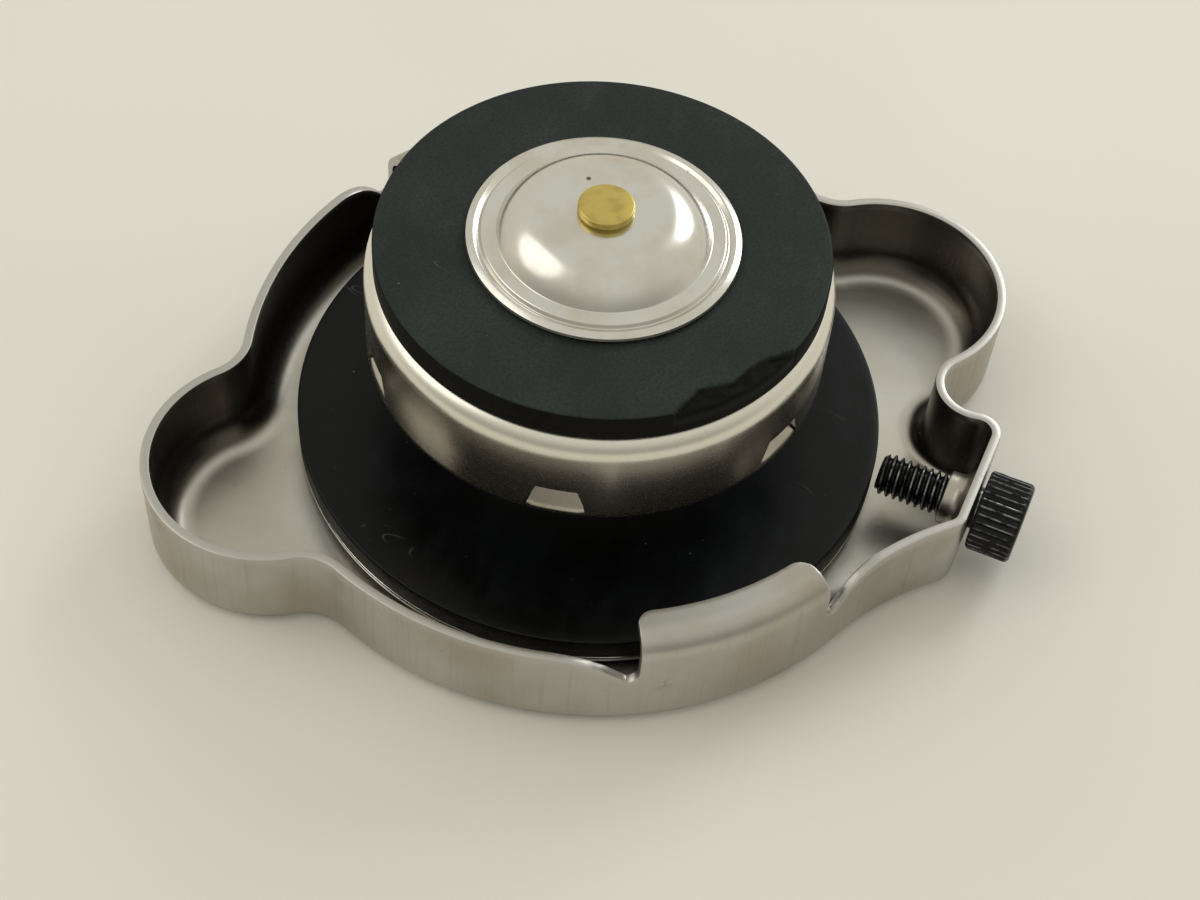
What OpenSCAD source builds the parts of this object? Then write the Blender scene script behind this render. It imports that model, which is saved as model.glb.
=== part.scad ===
// Radiator cap with two ears, bayonet lugs, a sprung pressure valve, a vacuum valve and a lock screw.
// It lies as it does off the car: outer face down, valve up. Millimetres.
// +Z runs up the cap's axis towards the valve, +X along the ears, and Z = 0 is the outer face.

/* [Shell] */
// Thickness of the pressed steel sheet
sheet = 0.85; // [0.75:0.05:0.95]
// Radius of the round body, outside
body_r = 32.5; // [32:0.1:33.5]
// Height of the rim above the outer face
rim_h = 9.7; // [9.2:0.1:10.2]
// Radius of the rounded edge round the outer face
edge_r = 1.6; // [1.3:0.1:1.7]
// Radius of an ear's round end
ear_r = 11.4; // [11:0.1:12]
// Distance from the axis to an ear's centre
ear_x = 31.1; // [30.5:0.1:32]
// Radius of the hollow between an ear and the body
ear_hollow_r = 4.3; // [3.5:0.1:5.5]
// Depth of the dimple that hides the rivet head
dimple_depth = 1.1; // [1:0.05:1.3]
// Radius of the dimple at the outer face
dimple_r = 7.5; // [7:0.1:9]

/* [Bayonet lugs] */
// Angle from the ear axis to the middle of the rear lug
lug_angle = 91; // [86:1:92]
// Angle that each lug spans
lug_span = 32; // [26:1:34]
// Height of a lug's top above the outer face
lug_top = 11.6; // [11.2:0.1:12.2]
// How far a lug reaches in from the outside of the wall
lug_reach = 3.9; // [3.5:0.1:4.4]
// Outer radius of the bend below a lug's top
lug_bend_r = 2.1; // [1.5:0.1:2.4]
// Corner radius at a lug's leading end
lug_lead_r = 1.3; // [0.8:0.1:1.5]
// Corner radius at a lug's trailing end
lug_trail_r = 1.6; // [0.8:0.1:1.7]
// Height of the notch floors beside the lugs
notch_z = 6.6; // [6:0.1:7.4]
// Radius between a notch floor and the lug's side
notch_r = 1; // [0.6:0.1:1.4]
// Radius of the rim where it dips towards a lug's leading end
lead_ramp_r = 9.3; // [7:0.1:11]
// Radius of the rim where it dips towards a lug's trailing end
trail_ramp_r = 6.5; // [5:0.1:8]

/* [Screw boss] */
// Angle from the ear axis down to the boss direction
boss_angle = 46; // [45:0.5:47]
// How far the boss face stands out past the body's radius
boss_reach = 4.6; // [4.3:0.1:5.1]
// Length of the flat part of the boss face
boss_flat = 9.8; // [9.4:0.1:10.2]
// How far the middle of the face sits from the screw, towards the ear
boss_shift = 0.3; // [0.1:0.1:0.5]
// Radius of the boss corners
boss_corner_r = 2.2; // [2.1:0.1:2.4]
// How much wider the hollow between the boss and the ear is than the gap between them
boss_hollow_spare = 0.43; // [0.33:0.05:0.83]
// Radius of the long flank that runs from the boss to the body
boss_flank_r = 28.6; // [25:0.1:32]
// Length of the drawn collar inside the boss wall
collar_l = 2.1; // [1.8:0.1:2.4]
// Wall of the drawn collar
collar_wall = 0.45; // [0.35:0.05:0.55]
// Radius of the flare where the collar leaves the boss wall
collar_flare_r = 1.3; // [1:0.1:1.4]

/* [Lock screw] */
// Height of the screw's axis above the outer face
screw_z = 5.5; // [5.2:0.1:6]
// Sideways distance from the cap's axis to the screw's axis
screw_offset = 3.4; // [3.2:0.1:3.6]
// Radius over the screw's thread
screw_r = 2; // [1.85:0.05:2.05]
// Length of the screw below its head
screw_l = 9.6; // [9:0.1:9.7]
// Radius of the screw's head
head_r = 3.8; // [3.5:0.1:3.9]
// Height of the screw's head
head_h = 4.2; // [3.8:0.1:4.4]
// Radius of the head's outer edge
head_edge_r = 0.5; // [0.3:0.1:0.8]
// Width across the flats of the hexagon socket
socket_af = 3; // [2.5:0.1:3.2]
// Depth of the hexagon socket
socket_depth = 2; // [1.5:0.1:2.5]
// Space left between the head and the boss face
head_gap = 0.4; // [0.4:0.1:0.7]
// Chamfer at the screw's point
point_chamfer = 0.5; // [0.3:0.1:0.8]

/* [Seal and swivel] */
// Thickness of the friction plate
plate_t = 0.5; // [0.4:0.05:0.7]
// How far the friction plate's edge lies inside the seal's
plate_inset = 0.3; // [0.1:0.1:0.7]
// Space between the upper seal and the wall round it
seal_room = 4.15; // [4.15:0.05:4.85]
// Thickness of the upper seal
seal_t = 2.45; // [2.2:0.05:2.7]
// Radius of the swivel rivet's shank
rivet_r = 2.5; // [2:0.1:2.8]
// Radius of the swivel rivet's outer head
rivet_head_r = 5; // [4.4:0.1:5.4]
// Radius of the swivel rivet's clenched end
rivet_clench_r = 4.2; // [3.8:0.1:4.8]
// Height of the swivel rivet's clenched end
rivet_clench_h = 1.1; // [0.8:0.1:1.4]

/* [Spring bell] */
// Radius of the spring bell, outside
bell_r = 13.4; // [13.2:0.05:13.6]
// Thickness of the spring bell's sheet
bell_t = 0.6; // [0.5:0.05:0.7]
// Height of the spring bell
bell_h = 15.7; // [15:0.1:16.5]
// Radius of the bell's outward flange
bell_flange_r = 19.4; // [19:0.1:19.6]
// Outer radius of the bell's bends
bell_bend_r = 1.5; // [1.2:0.1:2]

/* [Pressure valve] */
// Radius of the pressure cup, outside
cup_r = 20.85; // [20.7:0.05:21.2]
// Thickness of the pressure cup's sheet
cup_t = 0.6; // [0.5:0.05:0.7]
// Height of the pressure cup
cup_h = 9.65; // [9:0.05:10.2]
// Radius of the cup's rounded shoulder
cup_bend_r = 1.9; // [1.5:0.1:2.2]
// Number of lanced tabs round the cup
tab_count = 6; // [4:1:8]
// Angle from the ear axis to the first tab
tab_angle = 58; // [50:1:70]
// Height from the cup's edge to the top of a tab
tab_h = 3.2; // [2.8:0.1:3.4]
// Width of a tab at its top
tab_top_w = 3.7; // [3:0.1:4.2]
// Width of a tab at the cup's edge
tab_foot_w = 5.8; // [5:0.1:6.4]
// How far a tab's top is pushed in
tab_push = 1.9; // [1.7:0.05:2.1]
// Height of the cup's edge left whole below a tab
tab_band = 0.6; // [0.5:0.05:0.8]
// Space sheared free round a tab
tab_gap = 0.15; // [0.1:0.05:0.2]
// Height of the raised web in the middle of the cup
web_rise = 1; // [0.8:0.1:1.3]
// Radius of the raised web
web_r = 9.3; // [9:0.1:9.6]
// Number of vent holes in the web
vent_count = 4; // [3:1:6]
// Radius of a vent hole
vent_r = 1.2; // [0.8:0.1:1.3]
// Distance from the axis to the vent holes
vent_circle_r = 6.6; // [6.2:0.1:7]
// Radius of the pressure gasket
gasket_r = 20; // [19.5:0.1:20.6]
// Thickness of the pressure gasket
gasket_t = 2.75; // [2.4:0.05:3.1]
// Radius of the gasket's edges
gasket_edge_r = 0.25; // [0.15:0.05:0.4]
// Wire of the pressure spring
spring_wire = 2; // [1.6:0.1:2.1]
// Turns of the pressure spring
spring_turns = 6; // [5:1:7]
// Space between the pressure spring and the bell's wall
spring_gap = 0.35; // [0.3:0.05:0.6]

/* [Vacuum valve] */
// Radius of the vacuum disc
disc_r = 12.05; // [11.8:0.05:12.3]
// Thickness of the vacuum disc's sheet
disc_t = 0.5; // [0.4:0.05:0.6]
// Height of the disc's dome above the gasket
dome_h = 3.35; // [3:0.05:3.7]
// Radius of the flat top of the dome
dome_flat_r = 6.1; // [5.8:0.1:6.3]
// Radius of the dome's round shoulder
dome_shoulder_r = 2.8; // [2.5:0.1:3]
// Radius of the dome at its foot
dome_foot_r = 9.7; // [9.4:0.1:10]
// Radius of the ring on which the disc seats
disc_seat_r = 10.8; // [10.6:0.1:11]
// Height that the disc's lip turns up
lip_rise = 0.35; // [0.2:0.05:0.5]
// Radius of the brass stem
stem_r = 1.4; // [1.2:0.05:1.6]
// Radius of the stem's head
stem_head_r = 2.47; // [2.3:0.05:2.8]
// Height of the stem's head
stem_head_h = 0.9; // [0.7:0.05:1.2]
// Radius of the stem's riveted tail
stem_tail_r = 2.2; // [2:0.1:2.5]
// Height of the stem's riveted tail
stem_tail_h = 0.7; // [0.5:0.1:1]
// Radius of the washer on the stem
washer_r = 4.4; // [4:0.1:5]
// Thickness of the washer on the stem
washer_t = 0.6; // [0.5:0.1:0.8]
// Length of the vacuum spring
vacuum_spring_l = 6.5; // [6:0.1:7]
// Wire of the vacuum spring
vacuum_wire = 0.6; // [0.5:0.05:0.7]
// Mean radius of the vacuum spring
vacuum_spring_r = 3.2; // [2.8:0.1:3.6]
// Turns of the vacuum spring
vacuum_turns = 6; // [5:1:7]

/* [Fits] */
// Space between faces that slide on each other
slip = 0.05; // [0.03:0.01:0.08]
// Radial space of a shaft in its hole
run_fit = 0.06; // [0.03:0.01:0.09]

/* [Hidden] */
$fn = 96;

// A cut runs this far past the faces it goes through, and joined pieces overlap by as much
lap = 0.5;
// Rounds that run into each other cross by this much, so that no two faces only touch
seam = 0.02;
// A notch's floor, and how far a bent lug is drawn past its sheared sides, in degrees
notch_floor = 0.2 * notch_r;
lug_spare = 2;
center = [0, 0];
ear = [ear_x, 0];
far_ear = -ear;

// Directions out through the boss face and along it
boss_out = [cos(boss_angle), -sin(boss_angle)];
boss_along = [sin(boss_angle), cos(boss_angle)];
boss_middle = screw_offset + boss_shift;
boss_face = body_r + boss_reach;
near_corner = boss_point(boss_face - boss_corner_r, boss_middle + boss_flat / 2);
far_corner = boss_point(boss_face - boss_corner_r, boss_middle - boss_flat / 2);
boss_hollow_r = (norm(near_corner - ear) - ear_r - boss_corner_r) / 2 + boss_hollow_spare;

// Centres of the hollows, each touching the two rounds that it joins
ear_hollow = touching(center, body_r, ear, ear_r, ear_hollow_r, 1);
boss_hollow = touching(ear, ear_r, near_corner, boss_corner_r, boss_hollow_r, 1);
boss_flank = touching(center, body_r, far_corner, boss_corner_r, boss_flank_r, -1);

// The seal lies inside the shell's wall, and the friction plate inside the seal's edge
seal_r = body_r - sheet - seal_room;
plate_r = seal_r - plate_inset;

// The stack of pieces, from the shell's dimple up
plate_z = dimple_depth + sheet + slip;
bell_z = plate_z + plate_t;
flange_z = bell_z + bell_h - bell_t;
cup_z = flange_z - slip - tab_h;
gasket_z = cup_z + cup_h;
web_z = gasket_z + web_rise;
disc_z = gasket_z + gasket_t + slip;
dome_z = disc_z + dome_h;
washer_z = web_z - cup_t - vacuum_spring_l - washer_t;

// The dome's shoulder is an arc from the flat top, and runs on straight to the foot: dome_side is the
// direction out of that straight side
dome_foot = [dome_foot_r, disc_z + disc_t + lip_rise / 2];
dome_centre = [dome_flat_r, dome_z - dome_shoulder_r];
dome_side = heading(dome_foot - dome_centre) + acos(dome_shoulder_r / norm(dome_foot - dome_centre));
shoulder_steps = 12;

// Sides of a spring's wire, and rings in each of its turns
wire_sides = 10;
turn_rings = 20;

function heading(v) = atan2(v[1], v[0]);
function polar(r, a) = r * [cos(a), sin(a)];
function boss_point(out, along) = out * boss_out + along * boss_along;

// Points on the dome's shoulder at radius r, from the side up to the flat top
function shoulder(r) = [
    for (k = [0:shoulder_steps]) dome_centre + polar(r, dome_side + (90 - dome_side) * k / shoulder_steps)
];

// Point at radius r from c on the way to p
function towards(c, p, r) = c + r * (p - c) / norm(p - c);

// Centre of a hollow of radius r between rounds a and b, left of the line from a to b when side is 1
function touching(a, a_r, b, b_r, r, side) =
    let (
        span = norm(b - a),
        dir = (b - a) / span,
        from_a = a_r + r - seam,
        from_b = b_r + r - seam,
        reach = (from_a * from_a - from_b * from_b + span * span) / (2 * span),
        rise = sqrt(from_a * from_a - reach * reach)
    )
    a + reach * dir + side * rise * [-dir[1], dir[0]];

// Height of a coil's centre line after a number of turns, with one closed turn at each end
function coil_rise(turn, turns, height, wire) =
    turn < 1 ? wire * turn
    : turn > turns - 1 ? height - wire * (turns - turn)
    : wire + (turn - 1) / (turns - 2) * (height - 2 * wire);

// Quarter of a bent sheet's section, of outer radius r, in the quadrant that starts at the angle turn
module sheet_bend(r, t, turn) {
    rotate(turn) intersection() {
        difference() {
            circle(r);
            circle(r - t);
        }
        square(r);
    }
}

// Section of a lug: it grows out of the wall, a seam inside its faces, and bends in over the seal
module lug_section() {
    t = sheet - 2 * seam;
    bend_r = lug_bend_r - seam;
    bend_z = lug_top - bend_r;
    translate([seam, notch_z - lap]) square([t, bend_z - notch_z + lap]);
    translate([lug_bend_r, bend_z]) sheet_bend(bend_r, t, 90);
    translate([lug_bend_r, lug_top - t]) square([lug_reach - lug_bend_r, t]);
}

// Section of a solid round of radius r that lies inset from the shell's outside, with its lower edge rounded
module round_section(r, inset, top) {
    intersection() {
        translate([0, inset]) square([r - inset, top - inset]);
        union() {
            square([r - edge_r, top]);
            translate([r - edge_r, edge_r - seam]) circle(edge_r - inset);
            translate([0, edge_r - seam]) square([r - inset, top]);
        }
    }
}

// Section of what a hollow of radius r takes away, with the rounding carried on along its lower edge
module hollow_section(r, inset, top) {
    difference() {
        translate([0, inset - lap]) square([r + edge_r, top + lap]);
        translate([r + edge_r, edge_r - seam]) circle(edge_r - inset);
        translate([r + inset, edge_r - seam]) square([edge_r, top + lap]);
    }
}

module round_end(c, r, inset, top) {
    translate(c) rotate_extrude() round_section(r, inset, top);
}

module hollow(c, r, inset, top) {
    translate(c) rotate_extrude() hollow_section(r, inset, top);
}

// Fills the corner between the body and an ear, on the left or right and at the front or rear
module ear_corner(flip_x, flip_y, inset, top) {
    mirror([flip_x, 0, 0]) mirror([0, flip_y, 0]) difference() {
        translate([0, 0, inset]) linear_extrude(top - inset) polygon([
            center, ear, towards(ear_hollow, ear, ear_hollow_r), towards(ear_hollow, center, ear_hollow_r)
        ]);
        hollow(ear_hollow, ear_hollow_r, inset, top);
    }
}

module boss(inset, top) {
    difference() {
        translate([0, 0, inset]) linear_extrude(top - inset) polygon([
            center, towards(boss_flank, center, boss_flank_r), towards(boss_flank, far_corner, boss_flank_r),
            far_corner, near_corner, towards(boss_hollow, near_corner, boss_hollow_r),
            towards(boss_hollow, ear, boss_hollow_r), ear
        ]);
        hollow(boss_hollow, boss_hollow_r, inset, top);
        hollow(boss_flank, boss_flank_r, inset, top);
    }
    round_end(near_corner, boss_corner_r, inset, top);
    round_end(far_corner, boss_corner_r, inset, top);
    translate(far_corner) rotate(heading(boss_along)) rotate([90, 0, 90])
        translate([0, 0, seam]) linear_extrude(boss_flat - 2 * seam)
            mirror([1, 0]) round_section(boss_corner_r - 2 * seam, inset, top);
}

// Everything inside the tray's outline, inset by a distance from its outer face
module tray_solid(inset, top) {
    round_end(center, body_r, inset, top);
    round_end(ear, ear_r, inset, top);
    round_end(far_ear, ear_r, inset, top);
    ear_corner(0, 0, inset, top);
    ear_corner(1, 0, inset, top);
    ear_corner(1, 1, inset, top);
    boss(inset, top);
}

module tray() {
    difference() {
        tray_solid(0, rim_h + lap);
        tray_solid(sheet, rim_h + 2 * lap);
        translate([0, 0, rim_h]) cylinder(r = 2 * body_r, h = 2 * lap);
    }
}

// Places a flat cut on the wall at an angle: x along the wall to the given side, y up, pushed out radially
module through_wall(angle, side) {
    inner_r = body_r - lug_reach - lap;
    rotate(angle) mirror([0, side < 0 ? 1 : 0, 0]) rotate([90, 0, 90])
        translate([0, 0, inner_r]) linear_extrude(boss_face - inner_r) children();
}

// Open area of a notch: from the lug's side, over a round floor and up a ramp to the rim
module notch_area(ramp_r) {
    ramp_end = notch_r + notch_floor + sqrt(pow(ramp_r, 2) - pow(ramp_r - rim_h + notch_z, 2));
    difference() {
        translate([0, notch_z]) square([ramp_end, lug_top + lap - notch_z]);
        translate([ramp_end, rim_h - ramp_r]) circle(ramp_r);
        translate([0, notch_z]) difference() {
            square(notch_r);
            translate([notch_r, notch_r]) circle(notch_r);
        }
    }
}

// Rounds the free corner of a lug that ends at the angle
module lug_corner_cut(angle, side, r) {
    rotate(angle) mirror([0, side < 0 ? 1 : 0, 0])
        translate([body_r - lug_reach, 0, lug_top - sheet - lap]) linear_extrude(sheet + 2 * lap)
            difference() {
                translate([-lap, -r]) square(r + lap);
                translate([r, -r]) circle(r);
            }
}

module lug_bend_up(angle) {
    rotate(angle - lug_span / 2 - lug_spare) rotate_extrude(angle = lug_span + 2 * lug_spare)
        translate([body_r, 0]) mirror([1, 0]) lug_section();
}

module lug_cuts(angle) {
    lead = angle - lug_span / 2;
    trail = angle + lug_span / 2;
    through_wall(lead, -1) notch_area(lead_ramp_r);
    through_wall(trail, 1) notch_area(trail_ramp_r);
    lug_corner_cut(lead, -1, lug_lead_r);
    lug_corner_cut(trail, 1, lug_trail_r);
}

// Frame of the screw: z runs out along its axis, from the point nearest to the cap's axis
module on_screw_axis() {
    translate([0, 0, screw_z]) rotate(-boss_angle) translate([0, screw_offset, 0]) rotate([0, 90, 0])
        children();
}

// Collar drawn inwards from the boss wall, with a round root
module collar() {
    bore = screw_r + run_fit;
    inside = boss_face - sheet;
    root = bore + collar_wall + collar_flare_r;
    on_screw_axis() rotate_extrude() difference() {
        translate([bore, inside - collar_l]) square([root - bore, collar_l + sheet / 2]);
        translate([root, inside - collar_flare_r]) circle(collar_flare_r);
        translate([bore + collar_wall, inside - collar_l - lap])
            square([collar_flare_r + lap, collar_l - collar_flare_r + lap]);
    }
}

// Sheet of the dimple: a flat top and a sloping side, with the hole for the rivet
module dimple_section(wall) {
    slope = dimple_depth;
    polygon([
        [0, wall - lap], [dimple_r + wall, wall - lap], [dimple_r + wall, wall],
        [dimple_r + wall - slope, wall + dimple_depth], [0, wall + dimple_depth]
    ]);
}

module shell() {
    lugs = [lug_angle, lug_angle + 180];
    color("silver") difference() {
        union() {
            tray();
            for (angle = lugs) lug_bend_up(angle);
            collar();
            rotate_extrude() dimple_section(sheet);
        }
        for (angle = lugs) lug_cuts(angle);
        rotate_extrude() dimple_section(0);
        cylinder(r = rivet_r + run_fit, h = rim_h);
        on_screw_axis() translate([0, 0, boss_face - sheet - collar_l - lap])
            cylinder(r = screw_r + run_fit, h = collar_l + sheet + 2 * lap);
    }
}

module friction_plate() {
    color("gainsboro") translate([0, 0, plate_z]) difference() {
        cylinder(r = plate_r, h = plate_t);
        translate([0, 0, -lap]) cylinder(r = rivet_r, h = plate_t + 2 * lap);
    }
}

module upper_seal() {
    color("black") translate([0, 0, bell_z]) difference() {
        cylinder(r = seal_r, h = seal_t);
        translate([0, 0, -lap]) cylinder(r = bell_r + slip, h = seal_t + 2 * lap);
    }
}

module spring_bell() {
    neck_z = bell_h - bell_bend_r;
    color("lightgray") translate([0, 0, bell_z]) rotate_extrude() {
        translate([rivet_r, 0]) square([bell_r - bell_bend_r - rivet_r, bell_t]);
        translate([bell_r - bell_bend_r, bell_bend_r]) sheet_bend(bell_bend_r, bell_t, 270);
        translate([bell_r - bell_t, bell_bend_r]) square([bell_t, neck_z - bell_bend_r]);
        translate([bell_r - bell_t + bell_bend_r, neck_z]) sheet_bend(bell_bend_r, bell_t, 90);
        translate([bell_r - bell_t + bell_bend_r, bell_h - bell_t])
            square([bell_flange_r - bell_r + bell_t - bell_bend_r, bell_t]);
    }
}

module swivel_rivet() {
    head_t = dimple_depth - 2 * slip;
    clench_z = bell_z + bell_t;
    color("gray") union() {
        translate([0, 0, slip]) cylinder(r = rivet_head_r, h = head_t);
        translate([0, 0, slip]) cylinder(r = rivet_r, h = clench_z + rivet_clench_h - slip);
        translate([0, 0, clench_z]) cylinder(r1 = rivet_clench_r, r2 = rivet_r, h = rivet_clench_h);
    }
}

// Round wire wound from z = 0 up to a height, with its ends closed
module coil(mean_r, wire, height, turns) {
    rings = turns * turn_rings;
    points = [
        for (i = [0:rings], k = [0:wire_sides - 1])
            let (
                turn = i / turn_rings,
                side = 360 * k / wire_sides,
                r = mean_r + wire / 2 * cos(side),
                z = wire / 2 * (1 + sin(side)) + coil_rise(turn, turns, height - wire, wire)
            )
            [r * cos(360 * turn), r * sin(360 * turn), z]
    ];
    sides = [
        for (i = [0:rings - 1], k = [0:wire_sides - 1])
            let (next = (k + 1) % wire_sides, a = i * wire_sides, b = a + wire_sides)
            [a + k, b + k, b + next, a + next]
    ];
    start = [for (k = [0:wire_sides - 1]) k];
    end = [for (k = [wire_sides - 1:-1:0]) rings * wire_sides + k];
    polyhedron(points, concat([start], sides, [end]));
}

module pressure_spring() {
    seat_z = bell_z + bell_t;
    mean_r = bell_r - bell_t - spring_gap - spring_wire / 2;
    color("darkgray") translate([0, 0, seat_z])
        coil(mean_r, spring_wire, gasket_z - cup_t - seat_z, spring_turns);
}

// Section of the cup: straight wall, rounded shoulder, flat under the gasket and raised web
module cup_section() {
    shoulder_z = cup_h - cup_bend_r;
    translate([cup_r - cup_t, 0]) square([cup_t, shoulder_z]);
    translate([cup_r - cup_bend_r, shoulder_z]) sheet_bend(cup_bend_r, cup_t, 0);
    translate([web_r - cup_t, cup_h - cup_t]) square([cup_r - cup_bend_r - web_r + cup_t, cup_t]);
    translate([web_r - cup_t, cup_h - cup_t]) square([cup_t, web_rise + cup_t]);
    translate([stem_r + run_fit, cup_h + web_rise - cup_t]) square([web_r - stem_r - run_fit, cup_t]);
}

// Outline of a tab seen from outside, narrower on each side by inset, between two heights
module tab_area(inset, from_z, to_z) {
    lean = (tab_foot_w - tab_top_w) / 2 / tab_h;
    foot = tab_foot_w / 2 - inset;
    polygon([
        [lean * from_z - foot, from_z], [foot - lean * from_z, from_z],
        [foot - lean * to_z, to_z], [lean * to_z - foot, to_z]
    ]);
}

// Lanced tab: its foot grows out of the cup's edge and its top leans in under the bell's flange
module tab() {
    root_z = tab_band / 2;
    outer_r = cup_r - seam;
    inner_r = cup_r - cup_t + seam;
    intersection() {
        rotate_extrude() polygon([
            [outer_r, root_z], [outer_r, tab_band], [cup_r - tab_push, tab_h],
            [cup_r - tab_push - cup_t, tab_h], [inner_r, tab_band], [inner_r, root_z]
        ]);
        rotate([90, 0, 90]) linear_extrude(cup_r) tab_area(tab_gap, 0, tab_h);
    }
}

module pressure_cup() {
    tabs = [for (i = [0:tab_count - 1]) tab_angle + 360 * i / tab_count];
    color("silver") translate([0, 0, cup_z]) {
        difference() {
            rotate_extrude() cup_section();
            for (angle = tabs) rotate(angle) rotate([90, 0, 90])
                linear_extrude(cup_r + lap) tab_area(0, tab_band, tab_h + tab_gap);
            for (i = [0:vent_count - 1]) rotate(360 * (i + 0.5) / vent_count)
                translate([vent_circle_r, 0, cup_h]) cylinder(r = vent_r, h = web_rise + lap);
        }
        for (angle = tabs) rotate(angle) tab();
    }
}

module pressure_gasket() {
    e = gasket_edge_r;
    inner = web_r + slip;
    color([0.13, 0.15, 0.16]) translate([0, 0, gasket_z]) rotate_extrude() {
        translate([inner, e]) square([gasket_r - inner, gasket_t - 2 * e]);
        translate([inner, 0]) square([gasket_r - e - inner, gasket_t]);
        for (z = [e, gasket_t - e]) translate([gasket_r - e, z]) circle(e);
    }
}

module vacuum_disc() {
    lip_z = disc_z + lip_rise;
    outside = shoulder(dome_shoulder_r);
    inside = shoulder(dome_shoulder_r - disc_t);
    color("silver") rotate_extrude() polygon(concat(
        [[stem_r, dome_z - disc_t], [stem_r, dome_z]],
        [for (k = [shoulder_steps:-1:0]) outside[k]],
        [dome_foot, [disc_seat_r, disc_z + disc_t], [disc_r, lip_z + disc_t]],
        [[disc_r, lip_z], [disc_seat_r, disc_z], dome_foot - polar(disc_t, dome_side)],
        inside
    ));
}

module vacuum_stem() {
    tail_z = washer_z - stem_tail_h;
    color("goldenrod") union() {
        translate([0, 0, dome_z]) cylinder(r = stem_head_r, h = stem_head_h);
        translate([0, 0, tail_z]) cylinder(r = stem_r, h = dome_z - tail_z + stem_head_h / 2);
        translate([0, 0, tail_z]) cylinder(r1 = stem_r, r2 = stem_tail_r, h = stem_tail_h);
    }
}

module stem_washer() {
    color("gray") translate([0, 0, washer_z]) difference() {
        cylinder(r = washer_r, h = washer_t);
        translate([0, 0, -lap]) cylinder(r = stem_r, h = washer_t + 2 * lap);
    }
}

module vacuum_spring() {
    color("darkgray") translate([0, 0, washer_z + washer_t])
        coil(vacuum_spring_r, vacuum_wire, vacuum_spring_l, vacuum_turns);
}

// Socket head screw: plain shank of the thread's size, chamfered point, head with a rounded edge
module lock_screw() {
    head_z = boss_face + head_gap;
    e = head_edge_r;
    color([0.1, 0.1, 0.1]) on_screw_axis() difference() {
        rotate_extrude() {
            polygon([
                [0, head_z - screw_l], [screw_r - point_chamfer, head_z - screw_l],
                [screw_r, head_z - screw_l + point_chamfer], [screw_r, head_z], [head_r, head_z],
                [head_r, head_z + head_h - e], [head_r - e, head_z + head_h - e],
                [head_r - e, head_z + head_h], [0, head_z + head_h]
            ]);
            translate([head_r - e, head_z + head_h - e]) sheet_bend(e, e, 0);
        }
        translate([0, 0, head_z + head_h - socket_depth])
            cylinder(r = socket_af / sqrt(3), h = socket_depth + lap, $fn = 6);
    }
}

shell();
friction_plate();
upper_seal();
spring_bell();
swivel_rivet();
pressure_spring();
pressure_cup();
pressure_gasket();
vacuum_disc();
vacuum_stem();
vacuum_spring();
stem_washer();
lock_screw();
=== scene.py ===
"""Radiator cap lying on a pale table with its valve up, seen from the front left and above.

Sizes are in millimetres. Most of them repeat the named values of the part's source. The small
roundings, the curve of the dome and all wear are this scene's own.
"""

from __future__ import annotations

import logging
import math
from collections.abc import Iterator, Sequence
from contextlib import contextmanager
from dataclasses import dataclass
from enum import Enum
from typing import Union

import bpy
import bmesh
from mathutils import Matrix, Vector, noise
from mathutils.geometry import tessellate_polygon

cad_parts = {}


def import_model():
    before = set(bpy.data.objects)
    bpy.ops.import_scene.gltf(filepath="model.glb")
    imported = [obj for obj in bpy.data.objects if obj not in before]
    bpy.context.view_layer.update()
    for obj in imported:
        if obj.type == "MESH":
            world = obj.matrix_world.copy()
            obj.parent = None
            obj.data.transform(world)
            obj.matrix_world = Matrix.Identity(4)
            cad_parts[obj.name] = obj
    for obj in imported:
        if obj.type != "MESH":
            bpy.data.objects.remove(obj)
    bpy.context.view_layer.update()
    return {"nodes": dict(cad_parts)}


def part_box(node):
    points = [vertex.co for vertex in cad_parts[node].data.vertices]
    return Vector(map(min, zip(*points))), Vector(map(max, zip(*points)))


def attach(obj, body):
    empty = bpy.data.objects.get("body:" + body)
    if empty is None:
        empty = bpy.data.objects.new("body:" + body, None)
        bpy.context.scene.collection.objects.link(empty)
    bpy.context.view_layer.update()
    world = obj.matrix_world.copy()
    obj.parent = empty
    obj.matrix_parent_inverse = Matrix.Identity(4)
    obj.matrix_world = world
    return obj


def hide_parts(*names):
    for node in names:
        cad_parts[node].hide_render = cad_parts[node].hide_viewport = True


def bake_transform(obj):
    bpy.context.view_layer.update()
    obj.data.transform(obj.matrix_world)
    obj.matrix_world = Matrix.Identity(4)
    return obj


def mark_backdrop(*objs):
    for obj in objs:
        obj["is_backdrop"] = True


LOG = logging.getLogger("radiator_cap")
MM = 0.001
# Angle from which an edge stays sharp
SHARP = math.radians(38)
# Share of its radius by which an edge rounding draws back at its middle
HALF_ROUND = 0.29
# Distance that counts as away from every sheared edge
FAR = 9.0
# Width below which two points are one
WELD = 0.001
Point2 = tuple[float, float]
Point3 = tuple[float, float, float]
Value = Union["Flow", float, Sequence[float]]


class Body(Enum):
    """The bodies of the frame that pieces ride on."""

    SHELL = "cap_shell"
    VALVE = "valve_unit"
    PRESSURE = "pressure_valve"
    VACUUM = "vacuum_valve"
    SCREW = "screw"


class Skin(Enum):
    """The two faces of a bent sheet."""

    OUTER = 0
    INNER = 1


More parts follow.
